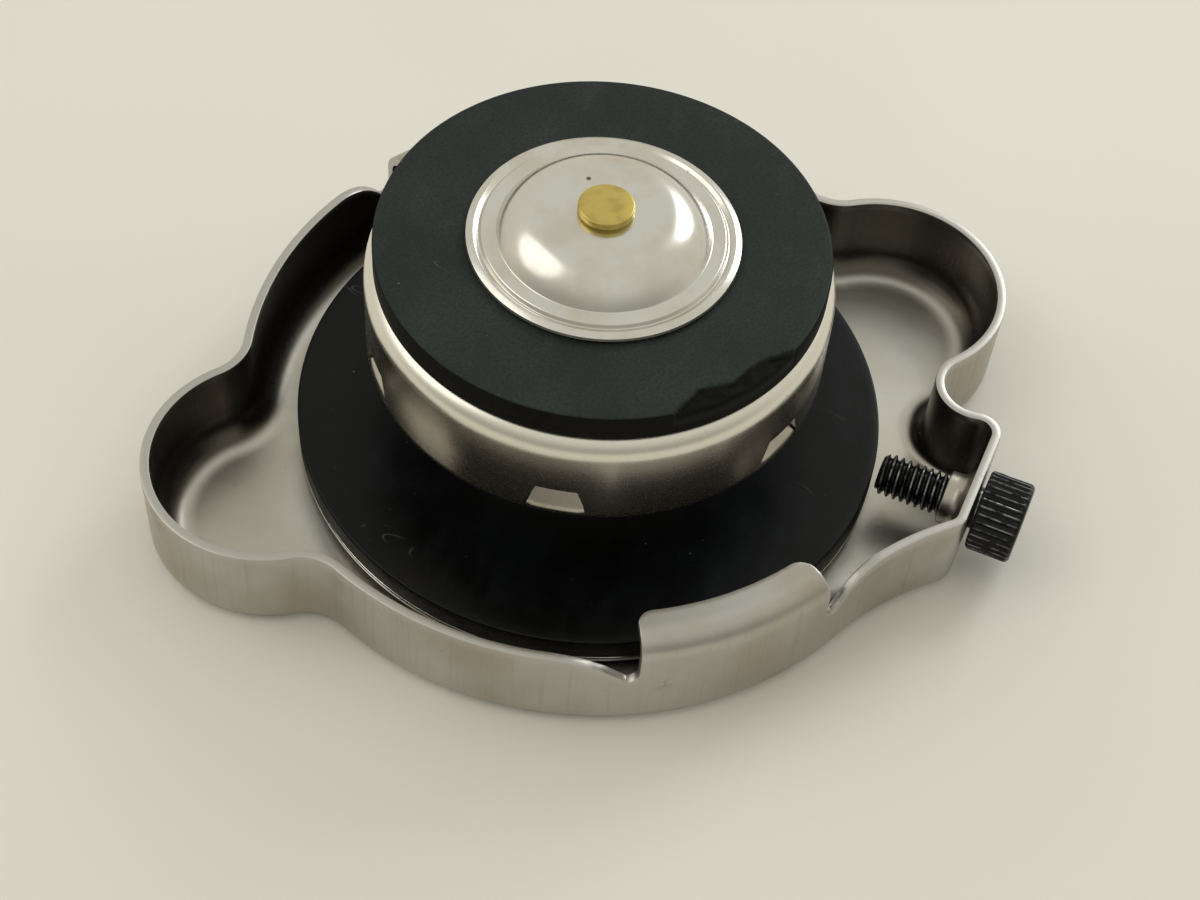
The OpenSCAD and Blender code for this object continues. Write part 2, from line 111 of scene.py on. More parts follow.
class Flow:
    """One socket of a node tree, with the operators that the finishes and rules use."""

    def __init__(self, tree: Tree, socket: bpy.types.NodeSocket) -> None:
        """Keeps the socket and the tree that it belongs to."""
        self.tree = tree
        self.socket = socket

    def maths(self, operation: str, *values: Value) -> Flow:
        """Adds a Math node on the given values."""
        return self.tree.node("ShaderNodeMath", {"operation": operation}, dict(enumerate(values)))

    def __add__(self, other: Value) -> Flow:
        """Sum."""
        return self.maths("ADD", self, other)

    def __radd__(self, other: Value) -> Flow:
        """Sum, from the right."""
        return self.maths("ADD", other, self)

    def __sub__(self, other: Value) -> Flow:
        """Difference."""
        return self.maths("SUBTRACT", self, other)

    def __rsub__(self, other: Value) -> Flow:
        """Difference, from the right."""
        return self.maths("SUBTRACT", other, self)

    def __mul__(self, other: Value) -> Flow:
        """Product."""
        return self.maths("MULTIPLY", self, other)

    def __rmul__(self, other: Value) -> Flow:
        """Product, from the right."""
        return self.maths("MULTIPLY", other, self)

    def __truediv__(self, other: Value) -> Flow:
        """Quotient."""
        return self.maths("DIVIDE", self, other)

    def __rtruediv__(self, other: Value) -> Flow:
        """Quotient, from the right."""
        return self.maths("DIVIDE", other, self)

    def __pow__(self, other: Value) -> Flow:
        """Power."""
        return self.maths("POWER", self, other)

    def size(self) -> Flow:
        """Distance from zero."""
        return self.maths("ABSOLUTE", self)

    def least(self, other: Value) -> Flow:
        """The smaller of two values."""
        return self.maths("MINIMUM", self, other)

    def most(self, other: Value) -> Flow:
        """The larger of two values."""
        return self.maths("MAXIMUM", self, other)

    def step(self, low: float, high: float) -> Flow:
        """Rises smoothly from 0 at low to 1 at high; low may be the larger one."""
        sockets = {"Value": self, "From Min": low, "From Max": high}
        return self.tree.node("ShaderNodeMapRange", {"interpolation_type": "SMOOTHSTEP"}, sockets)

    def beside(self, name: str) -> Flow:
        """Another output of the same node."""
        return Flow(self.tree, self.socket.node.outputs[name])


class Tree:
    """Adds nodes to one shader or geometry tree."""

    def __init__(self, tree: bpy.types.NodeTree) -> None:
        """Starts from an empty tree."""
        self.tree = tree
        self.tree.nodes.clear()

    def node(
        self, kind: str, settings: dict | None = None, sockets: dict | None = None, out: int | str = 0
    ) -> Flow | None:
        """Adds a node.

        Args:
            kind: the node's type.
            settings: its properties, set before the sockets.
            sockets: values or links of its inputs, by name or number.
            out: the output that is wanted.

        Returns:
            That output, or nothing for a node without outputs.
        """
        node = self.tree.nodes.new(kind)
        for name, value in (settings or {}).items():
            setattr(node, name, value)
        for key, value in (sockets or {}).items():
            if isinstance(value, Flow):
                self.tree.links.new(value.socket, node.inputs[key])
            else:
                node.inputs[key].default_value = value
        return Flow(self, node.outputs[out]) if node.outputs else None

    def mix(self, share: Value, first: Value, second: Value) -> Flow:
        """Blends two colours by a share."""
        sockets = {0: share, 6: opaque(first), 7: opaque(second)}
        return self.node("ShaderNodeMix", {"data_type": "RGBA"}, sockets, 2)

    def split(self, vector: Flow) -> tuple[Flow, Flow, Flow]:
        """The three parts of a vector."""
        x = self.node("ShaderNodeSeparateXYZ", None, {0: vector}, "X")
        return x, x.beside("Y"), x.beside("Z")

    def join(self, x: Value, y: Value, z: Value) -> Flow:
        """A vector from its three parts."""
        return self.node("ShaderNodeCombineXYZ", None, {"X": x, "Y": y, "Z": z})


def opaque(colour: Value) -> Value:
    """A colour with its alpha, or the link as it is."""
    return colour if isinstance(colour, Flow) else (*colour, 1.0)


class Surface(Tree):
    """A material's tree, with the piece's own coordinates in millimetres and the usual textures."""

    def __init__(self, name: str) -> None:
        """Starts a material of that name.

        Args:
            name: the material's name.
        """
        self.material = bpy.data.materials.new(name)
        self.material.use_nodes = True
        super().__init__(self.material.node_tree)
        place = self.node("ShaderNodeTexCoord", out="Object")
        self.at = self.node("ShaderNodeVectorMath", {"operation": "SCALE"}, {0: place, "Scale": 1 / MM})

    def mapped(self, turn: Point3, scale: Point3) -> Flow:
        """The coordinates turned, in degrees, and then stretched.

        Args:
            turn: turn about each axis, in degrees.
            scale: stretch along each axis.

        Returns:
            The new coordinates.
        """
        angles = tuple(math.radians(a) for a in turn)
        facing = self.node("ShaderNodeMapping", None, {"Vector": self.at, "Rotation": angles})
        return self.node("ShaderNodeVectorMath", {"operation": "MULTIPLY"}, {0: facing, 1: scale})

    def polar(self) -> tuple[Flow, Flow, Flow]:
        """Radius, angle in radians and height about the cap's axis."""
        x, y, z = self.split(self.at)
        return (x * x + y * y) ** 0.5, x.maths("ARCTAN2", y, x), z

    def noise(self, scale: float, detail: float = 2.0, at: Flow | None = None) -> Flow:
        """Soft noise about a half, with a scale per millimetre."""
        sockets = {"Vector": at or self.at, "Scale": scale, "Detail": detail}
        return self.node("ShaderNodeTexNoise", None, sockets)

    def specks(self, scale: float, share: float, size: float) -> Flow:
        """Sparse round specks.

        Args:
            scale: cells per millimetre.
            share: share of the cells that hold a speck.
            size: radius of a speck in cells.

        Returns:
            1 on a speck and 0 elsewhere.
        """
        near = self.node("ShaderNodeTexVoronoi", None, {"Vector": self.at, "Scale": scale}, "Distance")
        pick = self.split(near.beside("Color"))[0]
        return near.step(size, size * 0.4) * pick.step(1 - share, 1 - share * 0.6)

    def hairlines(self, turn: Point3, length: float, across: float, share: float) -> Flow:
        """Fine scratches.

        Args:
            turn: direction that they run in, in degrees.
            length: typical length in millimetres.
            across: how many lie side by side in a millimetre.
            share: share of the surface that has them.

        Returns:
            1 on a scratch and 0 elsewhere.
        """
        lines = self.noise(1.0, 0.0, self.mapped(turn, (1 / length, across, across)))
        patches = self.noise(0.21, 1.0, self.mapped(turn, (1.0, 1.7, 1.3)))
        bare = 0.62 - share * 0.3
        return (lines - 0.5).size().step(0.016, 0.002) * patches.step(bare, bare + 0.1)

    def mark(self, name: str) -> Flow:
        """A value that the mesh carries under that name."""
        return self.node("ShaderNodeAttribute", {"attribute_name": name}, None, "Fac")

    def bump(self, height: Flow, depth: float) -> Flow:
        """A normal bent by a height, with a depth in millimetres."""
        sockets = {"Height": height, "Strength": 1.0, "Distance": depth * MM}
        return self.node("ShaderNodeBump", None, sockets)

    def shade(self, **sockets: Value) -> bpy.types.Material:
        """Ends the tree in a Principled shader with the given sockets, named with _ for spaces.

        Args:
            sockets: values or links of the shader's sockets.

        Returns:
            The material.
        """
        named = {key.replace("_", " "): value for key, value in sockets.items()}
        named["Base Color"] = opaque(named["Base Color"])
        shader = self.node("ShaderNodeBsdfPrincipled", None, named)
        self.node("ShaderNodeOutputMaterial", None, {"Surface": shader})
        return self.material


@dataclass(frozen=True)
class Finish:
    """What every finish has: a name, a main colour and a roughness."""

    name: str
    colour: Point3
    roughness: float

    def material(self) -> bpy.types.Material:
        """Makes the procedural material."""
        raise NotImplementedError


@dataclass(frozen=True)
class DrawnSteel(Finish):
    """Pressed sheet: draw lines up its walls, grain, specks, painted shade on its inner walls, bright
    sheared edges.
    """

    warm: Point3 = (0.42, 0.38, 0.32)
    stain: Point3 = (0.10, 0.075, 0.05)
    rust: Point3 = (0.20, 0.12, 0.06)
    light: Point3 = (0.70, 0.68, 0.61)
    painted_wall_shade: Point3 = (0.062, 0.054, 0.043)
    bright: Point3 = (0.50, 0.485, 0.455)

    def material(self) -> bpy.types.Material:
        """Makes the procedural material.

        Returns:
            The material.
        """
        s = Surface(self.name)
        upright, tray = s.mark("upright"), s.mark("tray")
        sheared, inside = s.mark("sheared"), s.mark("inside")
        draw = (s.noise(1.0, 3.0, s.mapped((0, 0, 0), (2.4, 2.4, 0.05))) - 0.5) * upright
        roll = (s.noise(1.0, 2.0, s.mapped((0, 0, 38), (0.12, 2.6, 2.6))) - 0.5) * (1.0 - upright)
        grain = s.noise(7.0, 3.0)
        cloud = s.noise(0.07, 3.0)
        rust = s.noise(0.13, 4.0).step(0.62, 0.74) * s.noise(1.6, 3.0).step(0.4, 0.6)
        specks = s.specks(0.75, 0.05, 0.1).most(s.specks(1.6, 0.04, 0.14))
        scratches = s.hairlines((0, 0, 25), 14, 1.1, 0.4).most(s.hairlines((20, 0, 118), 9, 1.4, 0.3))
        scratches = scratches * (1.0 - inside)
        tone = s.mix(cloud.step(0.38, 0.66), self.colour, self.warm)
        tone = s.mix(draw.step(0.0, 0.36) * 0.2, tone, self.stain)
        tone = s.mix(rust * 0.3, tone, self.rust)
        tone = s.mix(tray * 0.35, tone, self.light)
        # Painted shade: the inner walls above the floor are darkened nearly to black
        tone = s.mix(inside.step(0.1, 0.9) * 0.92, tone, self.painted_wall_shade)
        tone = s.mix(specks * 0.75, tone, self.rust)
        tone = s.mix((sheared + scratches * 0.15).least(1.0), tone, self.bright)
        rough = self.roughness + (draw + roll) * 0.12 + (grain - 0.5) * 0.12
        rough = rough + scratches * 0.06 + specks * 0.3
        rough = rough - inside * 0.04 + rust * 0.08 + sheared * 0.04
        normal = s.bump(draw * 0.7 + roll * 0.1 + grain * 0.2 - scratches * 0.25 - specks, 0.009)
        return s.shade(Base_Color=tone, Metallic=1.0, Roughness=rough, Normal=normal)


@dataclass(frozen=True)
class SpunSteel(Finish):
    """Sheet formed round the cap's axis: lines round it, grain, pits, and a painted highlight above a
    height.
    """

    lines: float = 0.5
    pitting: float = 0.1
    warm: Point3 = (0.46, 0.43, 0.38)
    stain: Point3 = (0.09, 0.075, 0.055)
    # Colour of the painted highlight, the height where it starts and its fade
    bright: Point3 = (0.80, 0.77, 0.69)
    highlight_z: float = 99.0
    highlight_fade: float = 0.7

    def material(self) -> bpy.types.Material:
        """Makes the procedural material.

        Returns:
            The material.
        """
        s = Surface(self.name)
        radius, angle, z = s.polar()
        round_it = s.join(radius * 5.0, z * 5.0, angle * 1.6)
        lines = s.noise(1.0, 3.0, round_it)
        grain = s.noise(6.0, 2.0)
        cloud = s.noise(0.11, 2.0)
        pits = s.specks(1.5, self.pitting, 0.16).most(s.specks(0.55, self.pitting * 0.6, 0.1))
        scratches = s.hairlines((0, 0, 70), 11, 1.2, 0.25)
        tone = s.mix(cloud.step(0.36, 0.68), self.colour, self.warm)
        tone = s.mix(lines.step(0.56, 0.8) * 0.25 * self.lines, tone, self.stain)
        # Painted highlight: above a height the colour turns lighter, as on the cup's shoulder
        painted_highlight = z.step(self.highlight_z, self.highlight_z + self.highlight_fade)
        tone = s.mix(painted_highlight, tone, self.bright)
        tone = s.mix(pits * 0.8, tone, self.stain)
        rough = self.roughness + (lines - 0.5) * 0.2 * self.lines + (grain - 0.5) * 0.12
        rough = rough + pits * 0.25 + painted_highlight * 0.05
        normal = s.bump(lines * self.lines + grain * 0.15 - pits - scratches * 0.5, 0.004)
        return s.shade(Base_Color=tone, Metallic=1.0, Roughness=rough, Normal=normal)


@dataclass(frozen=True)
class PolishedSteel(Finish):
    """Polished pressing: soft rings, hairlines, a few dark pits and one speck beside the stem."""

    warm: Point3 = (0.66, 0.62, 0.55)
    stain: Point3 = (0.05, 0.04, 0.03)
    speck_at: Point3 = (0.06, 4.1, 30.15)
    speck_r: float = 0.26
    speck_core_r: float = 0.17

    def material(self) -> bpy.types.Material:
        """Makes the procedural material.

        Returns:
            The material.
        """
        s = Surface(self.name)
        radius, angle, z = s.polar()
        rings = s.noise(1.0, 2.0, s.join(radius * 4.0, z * 4.0, angle * 0.8))
        haze = s.noise(0.25, 3.0)
        grain = s.noise(8.0, 2.0)
        sockets = {0: s.at, 1: self.speck_at}
        away = s.node("ShaderNodeVectorMath", {"operation": "DISTANCE"}, sockets, "Value")
        pits = s.specks(0.8, 0.05, 0.09).most(away.step(self.speck_r, self.speck_core_r))
        scratches = s.hairlines((0, 0, -20), 9, 1.3, 0.25)
        tone = s.mix(haze.step(0.4, 0.7), self.colour, self.warm)
        tone = s.mix(pits * 0.85, tone, self.stain)
        rough = self.roughness + (rings - 0.5) * 0.08 + (haze - 0.5) * 0.12 + scratches * 0.08 + pits * 0.3
        normal = s.bump(rings * 0.25 + grain * 0.3 - scratches * 0.6 - pits, 0.003)
        return s.shade(Base_Color=tone, Metallic=1.0, Roughness=rough, Normal=normal)


@dataclass(frozen=True)
class Rubber(Finish):
    """Moulded rubber with a bloom, smudges, dust specks, scuffs, darker worn places and painted shade on its
    outer side.
    """

    bloom: Point3 = (0.014, 0.019, 0.020)
    dust: Point3 = (0.20, 0.21, 0.21)
    worn: Point3 = (0.0025, 0.0025, 0.0018)
    dusty: float = 0.09
    grain: float = 0.5
    sheen: float = 0.15
    # Radius of the outer side, which gets painted shade
    side_r: float = 20.0

    def material(self) -> bpy.types.Material:
        """Makes the procedural material.

        Returns:
            The material.
        """
        s = Surface(self.name)
        radius, angle, z = s.polar()
        cloud = s.noise(0.12, 3.0)
        smudge = s.noise(0.45, 3.0, s.mapped((0, 0, 35), (1.0, 0.45, 1.0)))
        grain = s.noise(6.0, 3.0)
        marks = s.noise(1.0, 2.0, s.join(radius * 1.6, z * 1.6, angle * 2.0))
        specks = s.specks(0.6, self.dusty, 0.06).most(s.specks(1.5, self.dusty, 0.08))
        scuffs = s.hairlines((0, 0, 52), 5, 0.8, -0.2)
        # Worn places, and painted shade: the outer side near side_r is darkened
        wear_and_side_shade = s.mark("worn").most(radius.step(self.side_r - 0.14, self.side_r - 0.03))
        tone = s.mix(cloud.step(0.32, 0.68) * 0.6 + smudge.step(0.5, 0.75) * 0.4, self.colour, self.bloom)
        tone = s.mix(s.noise(3.4, 3.0).step(0.35, 0.75) * 0.4, tone, self.worn)
        tone = s.mix(wear_and_side_shade, tone, self.worn)
        tone = s.mix((specks * 0.8 + scuffs * 0.2).least(1.0), tone, self.dust)
        rough = self.roughness + (cloud - 0.5) * 0.3 + (smudge - 0.5) * 0.25
        rough = rough + (marks - 0.5) * 0.12 + wear_and_side_shade * 0.2
        normal = s.bump(grain * self.grain + marks * 0.3 + specks + wear_and_side_shade * s.noise(2.2, 3.0) * 3.0, 0.02)
        return s.shade(
            Base_Color=tone, Metallic=0.0, Roughness=rough, Specular_IOR_Level=self.sheen, Normal=normal
        )


@dataclass(frozen=True)
class TurnedBrass(Finish):
    """Brass with fine turning rings, a duller skin and small dents."""

    dull: Point3 = (0.44, 0.34, 0.10)

    def material(self) -> bpy.types.Material:
        """Makes the procedural material.

        Returns:
            The material.
        """
        s = Surface(self.name)
        radius, angle, z = s.polar()
        rings = s.noise(1.0, 2.0, s.join(radius * 9.0, z * 7.0, angle * 0.6))
        skin = s.noise(0.8, 3.0)
        dents = s.specks(1.6, 0.2, 0.2)
        tone = s.mix(skin.step(0.42, 0.72) * 0.7 + dents * 0.3, self.colour, self.dull)
        rough = self.roughness + (skin - 0.5) * 0.25 + (rings - 0.5) * 0.15 + dents * 0.15
        normal = s.bump(rings * 0.6 + skin * 0.5 - dents, 0.012)
        return s.shade(Base_Color=tone, Metallic=1.0, Roughness=rough, Normal=normal)


@dataclass(frozen=True)
class BlackOxide(Finish):
    """Blackened steel: oily sheen, and bare metal where crests and ridges rub."""

    gloss: float = 0.22
    sheen: Point3 = (0.006, 0.0062, 0.007)
    bare: Point3 = (0.42, 0.42, 0.43)

    def material(self) -> bpy.types.Material:
        """Makes the procedural material.

        Returns:
            The material.
        """
        s = Surface(self.name)
        film = s.noise(0.7, 3.0)
        grain = s.noise(9.0, 2.0)
        rubbed = s.mark("rubbed") * s.noise(1.1, 3.0).step(0.36, 0.62)
        tone = s.mix(rubbed * 0.85, s.mix(film, self.colour, self.sheen), self.bare)
        rough = self.roughness + (film - 0.5) * 0.25 + (grain - 0.5) * 0.12 - rubbed * 0.08
        normal = s.bump(grain * 0.5 + film * 0.4, 0.012)
        return s.shade(
            Base_Color=tone, Metallic=rubbed, Roughness=rough, Specular_IOR_Level=self.gloss, Normal=normal
        )


@dataclass(frozen=True)
class WireSteel(Finish):
    """Drawn or turned steel of the pieces inside: grey, a little oily."""

    oil: Point3 = (0.20, 0.19, 0.17)

    def material(self) -> bpy.types.Material:
        """Makes the procedural material.

        Returns:
            The material.
        """
        s = Surface(self.name)
        film = s.noise(0.5, 3.0)
        grain = s.noise(8.0, 2.0)
        tone = s.mix(film.step(0.35, 0.7), self.colour, self.oil)
        rough = self.roughness + (film - 0.5) * 0.2 + (grain - 0.5) * 0.15
        return s.shade(Base_Color=tone, Metallic=1.0, Roughness=rough, Normal=s.bump(grain + film, 0.006))


@dataclass(frozen=True)
class Tabletop(Finish):
    """Pale matt table: a faint cloudiness and a very fine tooth."""

    shade_colour: Point3 = (0.81, 0.785, 0.73)

    def material(self) -> bpy.types.Material:
        """Makes the procedural material.

        Returns:
            The material.
        """
        s = Surface(self.name)
        cloud = s.noise(0.012, 2.0)
        tooth = s.noise(2.0, 2.0)
        tone = s.mix(cloud.step(0.3, 0.75), self.colour, self.shade_colour)
        rough = self.roughness + (tooth - 0.5) * 0.1
        return s.shade(Base_Color=tone, Metallic=0.0, Roughness=rough, Normal=s.bump(tooth, 0.01))


class Draft:
    """Points, in millimetres, faces and marks of one piece before it becomes a mesh."""

    def __init__(self) -> None:
        """Starts empty."""
        self.points: list[Point3] = []
        self.faces: list[tuple[int, ...]] = []
        self.marks: dict[str, dict[int, float]] = {}

    def point(self, x: float, y: float, z: float, **marks: float) -> int:
        """Adds a point with its marks and returns its number.

        Args:
            x: where it lies to the right.
            y: where it lies to the back.
            z: how high it lies.
            marks: values that the mesh carries there, by name.

        Returns:
            Its number.
        """
        self.points.append((x, y, z))
        number = len(self.points) - 1
        for name, value in marks.items():
            self.marks.setdefault(name, {})[number] = value
        return number

    def strip(self, first: Sequence[int], second: Sequence[int], closed: bool = False) -> None:
        """Joins two rows of points with faces.

        Args:
            first: one row.
            second: the other row, as long, or a single point that the faces meet in.
            closed: whether the rows run round.
        """
        count = len(first)
        for k in range(count if closed else count - 1):
            after = (k + 1) % count
            if len(second) == 1:
                self.faces.append((first[k], first[after], second[0]))
            else:
                self.faces.append((first[k], first[after], second[after], second[k]))

    def lathe(self, path: Sequence[Point2], segments: int, closed: bool = False) -> list[list[int]]:
        """Turns a path of radius and height round the z axis.

        Args:
            path: the section's points; a radius of zero makes a pole.
            segments: how many steps go round.
            closed: whether the section's last point joins its first.

        Returns:
            The rows of points that it added.
        """
        rows = []
        for r, z in path:
            angles = [math.tau * k / segments for k in range(segments if r > 1e-6 else 1)]
            rows.append([self.point(r * math.cos(a), r * math.sin(a), z) for a in angles])
        pairs = list(zip(rows, rows[1:])) + ([(rows[-1], rows[0])] if closed else [])
        for first, second in pairs:
            if len(first) == 1:
                self.strip(second, first, True)
            else:
                self.strip(first, second, True)
        return rows

    def mesh(self, name: str, place: Matrix | None = None) -> bpy.types.Mesh:
        """Makes a mesh in metres with outward faces, smooth but for its sharp edges.

        Args:
            name: the mesh's name.
            place: where the draft's own frame lies, in millimetres.

        Returns:
            The mesh.
        """
        mesh = bpy.data.meshes.new(name)
        mesh.from_pydata(self.points, [], self.faces)
        for mark, values in self.marks.items():
            field = mesh.attributes.new(mark, "FLOAT", "POINT")
            for number, value in values.items():
                field.data[number].value = value
        mesh.transform(Matrix.Scale(MM, 4) @ (place or Matrix.Identity(4)))
        face_out(mesh)
        return mesh


@contextmanager
def editing(mesh: bpy.types.Mesh) -> Iterator[bmesh.types.BMesh]:
    """Opens a mesh for editing and writes the changes back.

    Args:
        mesh: the mesh.

    Yields:
        The open mesh.
    """
    work = bmesh.new()
    work.from_mesh(mesh)
    yield work
    work.to_mesh(mesh)
    work.free()


def face_out(mesh: bpy.types.Mesh) -> None:
    """Turns all faces outwards and shades them smooth but for the sharp edges.

    Args:
        mesh: a closed mesh.
    """
    with editing(mesh) as work:
        bmesh.ops.recalc_face_normals(work, faces=work.faces)
    mesh.shade_smooth()
    mesh.set_sharp_from_angle(angle=SHARP)
    mesh.update()


def piece(name: str, mesh: bpy.types.Mesh) -> bpy.types.Object:
    """Links an object of that name for a mesh.

    Args:
        name: the object's name.
        mesh: its mesh.

    Returns:
        The object.
    """
    thing = bpy.data.objects.new(name, mesh)
    bpy.context.scene.collection.objects.link(thing)
    return thing


def turned(
    name: str, path: Sequence[Point2], segments: int, closed: bool = False, place: Matrix | None = None
) -> bpy.types.Object:
    """Turns a section round an axis.

    Args:
        name: the piece's name.
        path: radius and height of the section's points.
        segments: how many steps go round.
        closed: whether the section's last point joins its first.
        place: where the axis lies, in millimetres.

    Returns:
        The piece.
    """
    draft = Draft()
    draft.lathe(path, segments, closed)
    return piece(name, draft.mesh(name, place))


def settle(thing: bpy.types.Object) -> bpy.types.Object:
    """Turns an object with modifiers into a plain mesh.

    Args:
        thing: the object.

    Returns:
        The same object, with its result as mesh and no modifiers.
    """
    graph = bpy.context.evaluated_depsgraph_get()
    result = bpy.data.meshes.new_from_object(thing.evaluated_get(graph), depsgraph=graph)
    thing.modifiers.clear()
    thing.data = result
    face_out(result)
    return thing


def cut(thing: bpy.types.Object, tool: bpy.types.Object) -> bpy.types.Object:
    """Takes a tool's shape out of an object and removes the tool.

    Args:
        thing: the object.
        tool: the tool.

    Returns:
        The object, with the cut in its mesh.
    """
    change = thing.modifiers.new("cut", "BOOLEAN")
    change.operation, change.solver, change.object = "DIFFERENCE", "EXACT", tool
    settle(thing)
    bpy.data.objects.remove(tool)
    return thing


def absorb(thing: bpy.types.Object, extra: bpy.types.Object) -> bpy.types.Object:
    """Adds another object's mesh to an object and removes the other one.

    Args:
        thing: the object that stays.
        extra: the object that goes.

    Returns:
        The object that stays.
    """
    with editing(thing.data) as work:
        work.from_mesh(extra.data)
    bpy.data.objects.remove(extra)
    return thing


def dress(thing: bpy.types.Object, finish: Finish) -> None:
    """Gives an object one finish."""
    thing.data.materials.clear()
    thing.data.materials.append(finish.material())


@dataclass(frozen=True)
class Place:
    """Where a piece belongs in the frame."""

    node: str
    body: Body
    slot: str

    def install(self, thing: bpy.types.Object, finish: Finish) -> bpy.types.Object:
        """Dresses a finished piece and fits it to the frame.

        Args:
            thing: the piece, in place.
            finish: what it is dressed with.

        Returns:
            The piece.
        """
        dress(thing, finish)
        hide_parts(self.node)
        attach(thing, self.body.value)
        LOG.info("%s: %d faces, rides on %s", thing.name, len(thing.data.polygons), self.body.value)
        return thing


def rounded(corners: Sequence[Point3], closed: bool = False, steps: int = 5) -> list[Point2]:
    """A path whose corners are rounded.

    Args:
        corners: radius, height and rounding of each corner.
        closed: whether the path runs back to its start.
        steps: how many pieces each rounding gets.

    Returns:
        The path's points.
    """
    path: list[Point2] = []
    last = len(corners) - 1
    for k, (r, z, turn) in enumerate(corners):
        if turn <= 0 or (not closed and k in (0, last)):
            path.append((r, z))
            continue
        here = Vector((r, z))
        before = (Vector(corners[k - 1][:2]) - here).normalized()
        after = (Vector(corners[(k + 1) % len(corners)][:2]) - here).normalized()
        half = before.angle(after) / 2
        middle = here + (before + after).normalized() * (turn / math.sin(half))
        start = here + before * (turn / math.tan(half)) - middle
        sweep = start.angle_signed(here + after * (turn / math.tan(half)) - middle)
        for i in range(steps + 1):
            spoke = Matrix.Rotation(-sweep * i / steps, 2) @ start
            path.append(tuple(middle + spoke))
    return path


def thickened(path: Sequence[Point2], thickness: float) -> list[Point2]:
    """The path moved to its right-hand side by a thickness, from its end back to its start.

    Args:
        path: the path.
        thickness: how far it is moved.

    Returns:
        The moved points.
    """
    moved = []
    for k, here in enumerate(path):
        before, after = Vector(path[max(k - 1, 0)]), Vector(path[min(k + 1, len(path) - 1)])
        along = (after - before).normalized()
        moved.append((here[0] + along.y * thickness, here[1] - along.x * thickness))
    return moved[::-1]


def heading(start: Point2, end: Point2) -> float:
    """Direction from one point to another, in radians."""
    return math.atan2(end[1] - start[1], end[0] - start[0])


def touching(a: Point2, a_r: float, b: Point2, b_r: float, r: float, side: int) -> Point2:
    """Centre of a hollow between two rounds.

    Args:
        a: centre of one round.
        a_r: its radius.
        b: centre of the other round.
        b_r: its radius.
        r: radius of the hollow.
        side: 1 where the hollow lies left of the line from a to b, else -1.

    Returns:
        The centre.
    """
    span = math.dist(a, b)
    turn = heading(a, b)
    reach = ((a_r + r) ** 2 - (b_r + r) ** 2 + span**2) / (2 * span)
    rise = side * math.sqrt((a_r + r) ** 2 - reach**2)
    return (
        a[0] + reach * math.cos(turn) - rise * math.sin(turn),
        a[1] + reach * math.sin(turn) + rise * math.cos(turn),
    )


@dataclass(frozen=True)
class Arc:
    """One round of the shell's outline, or a hollow where it turns back."""

    centre: Point2
    radius: float
    start: float
    end: float

    def spot(self, angle: float) -> tuple[Point2, Point2]:
        """Point on the outline at an angle, and the outward direction there.

        Args:
            angle: where, in radians about the arc's centre.

        Returns:
            The point and the direction.
        """
        out = (math.cos(angle), math.sin(angle))
        side = 1 if self.end > self.start else -1
        place = (self.centre[0] + self.radius * out[0], self.centre[1] + self.radius * out[1])
        return place, (side * out[0], side * out[1])


@dataclass(frozen=True)
class Station:
    """One place along the shell's outline: the sheet there, from the floor to its sheared edge."""

    place: Point2
    out: Point2
    top: float
    foot: float
    in_lug: bool = False
    side: float = FAR
    reach: float = 0.0

    def inward(self, inset: float) -> Point2:
        """The place moved in from the outer face."""
        return self.place[0] - inset * self.out[0], self.place[1] - inset * self.out[1]


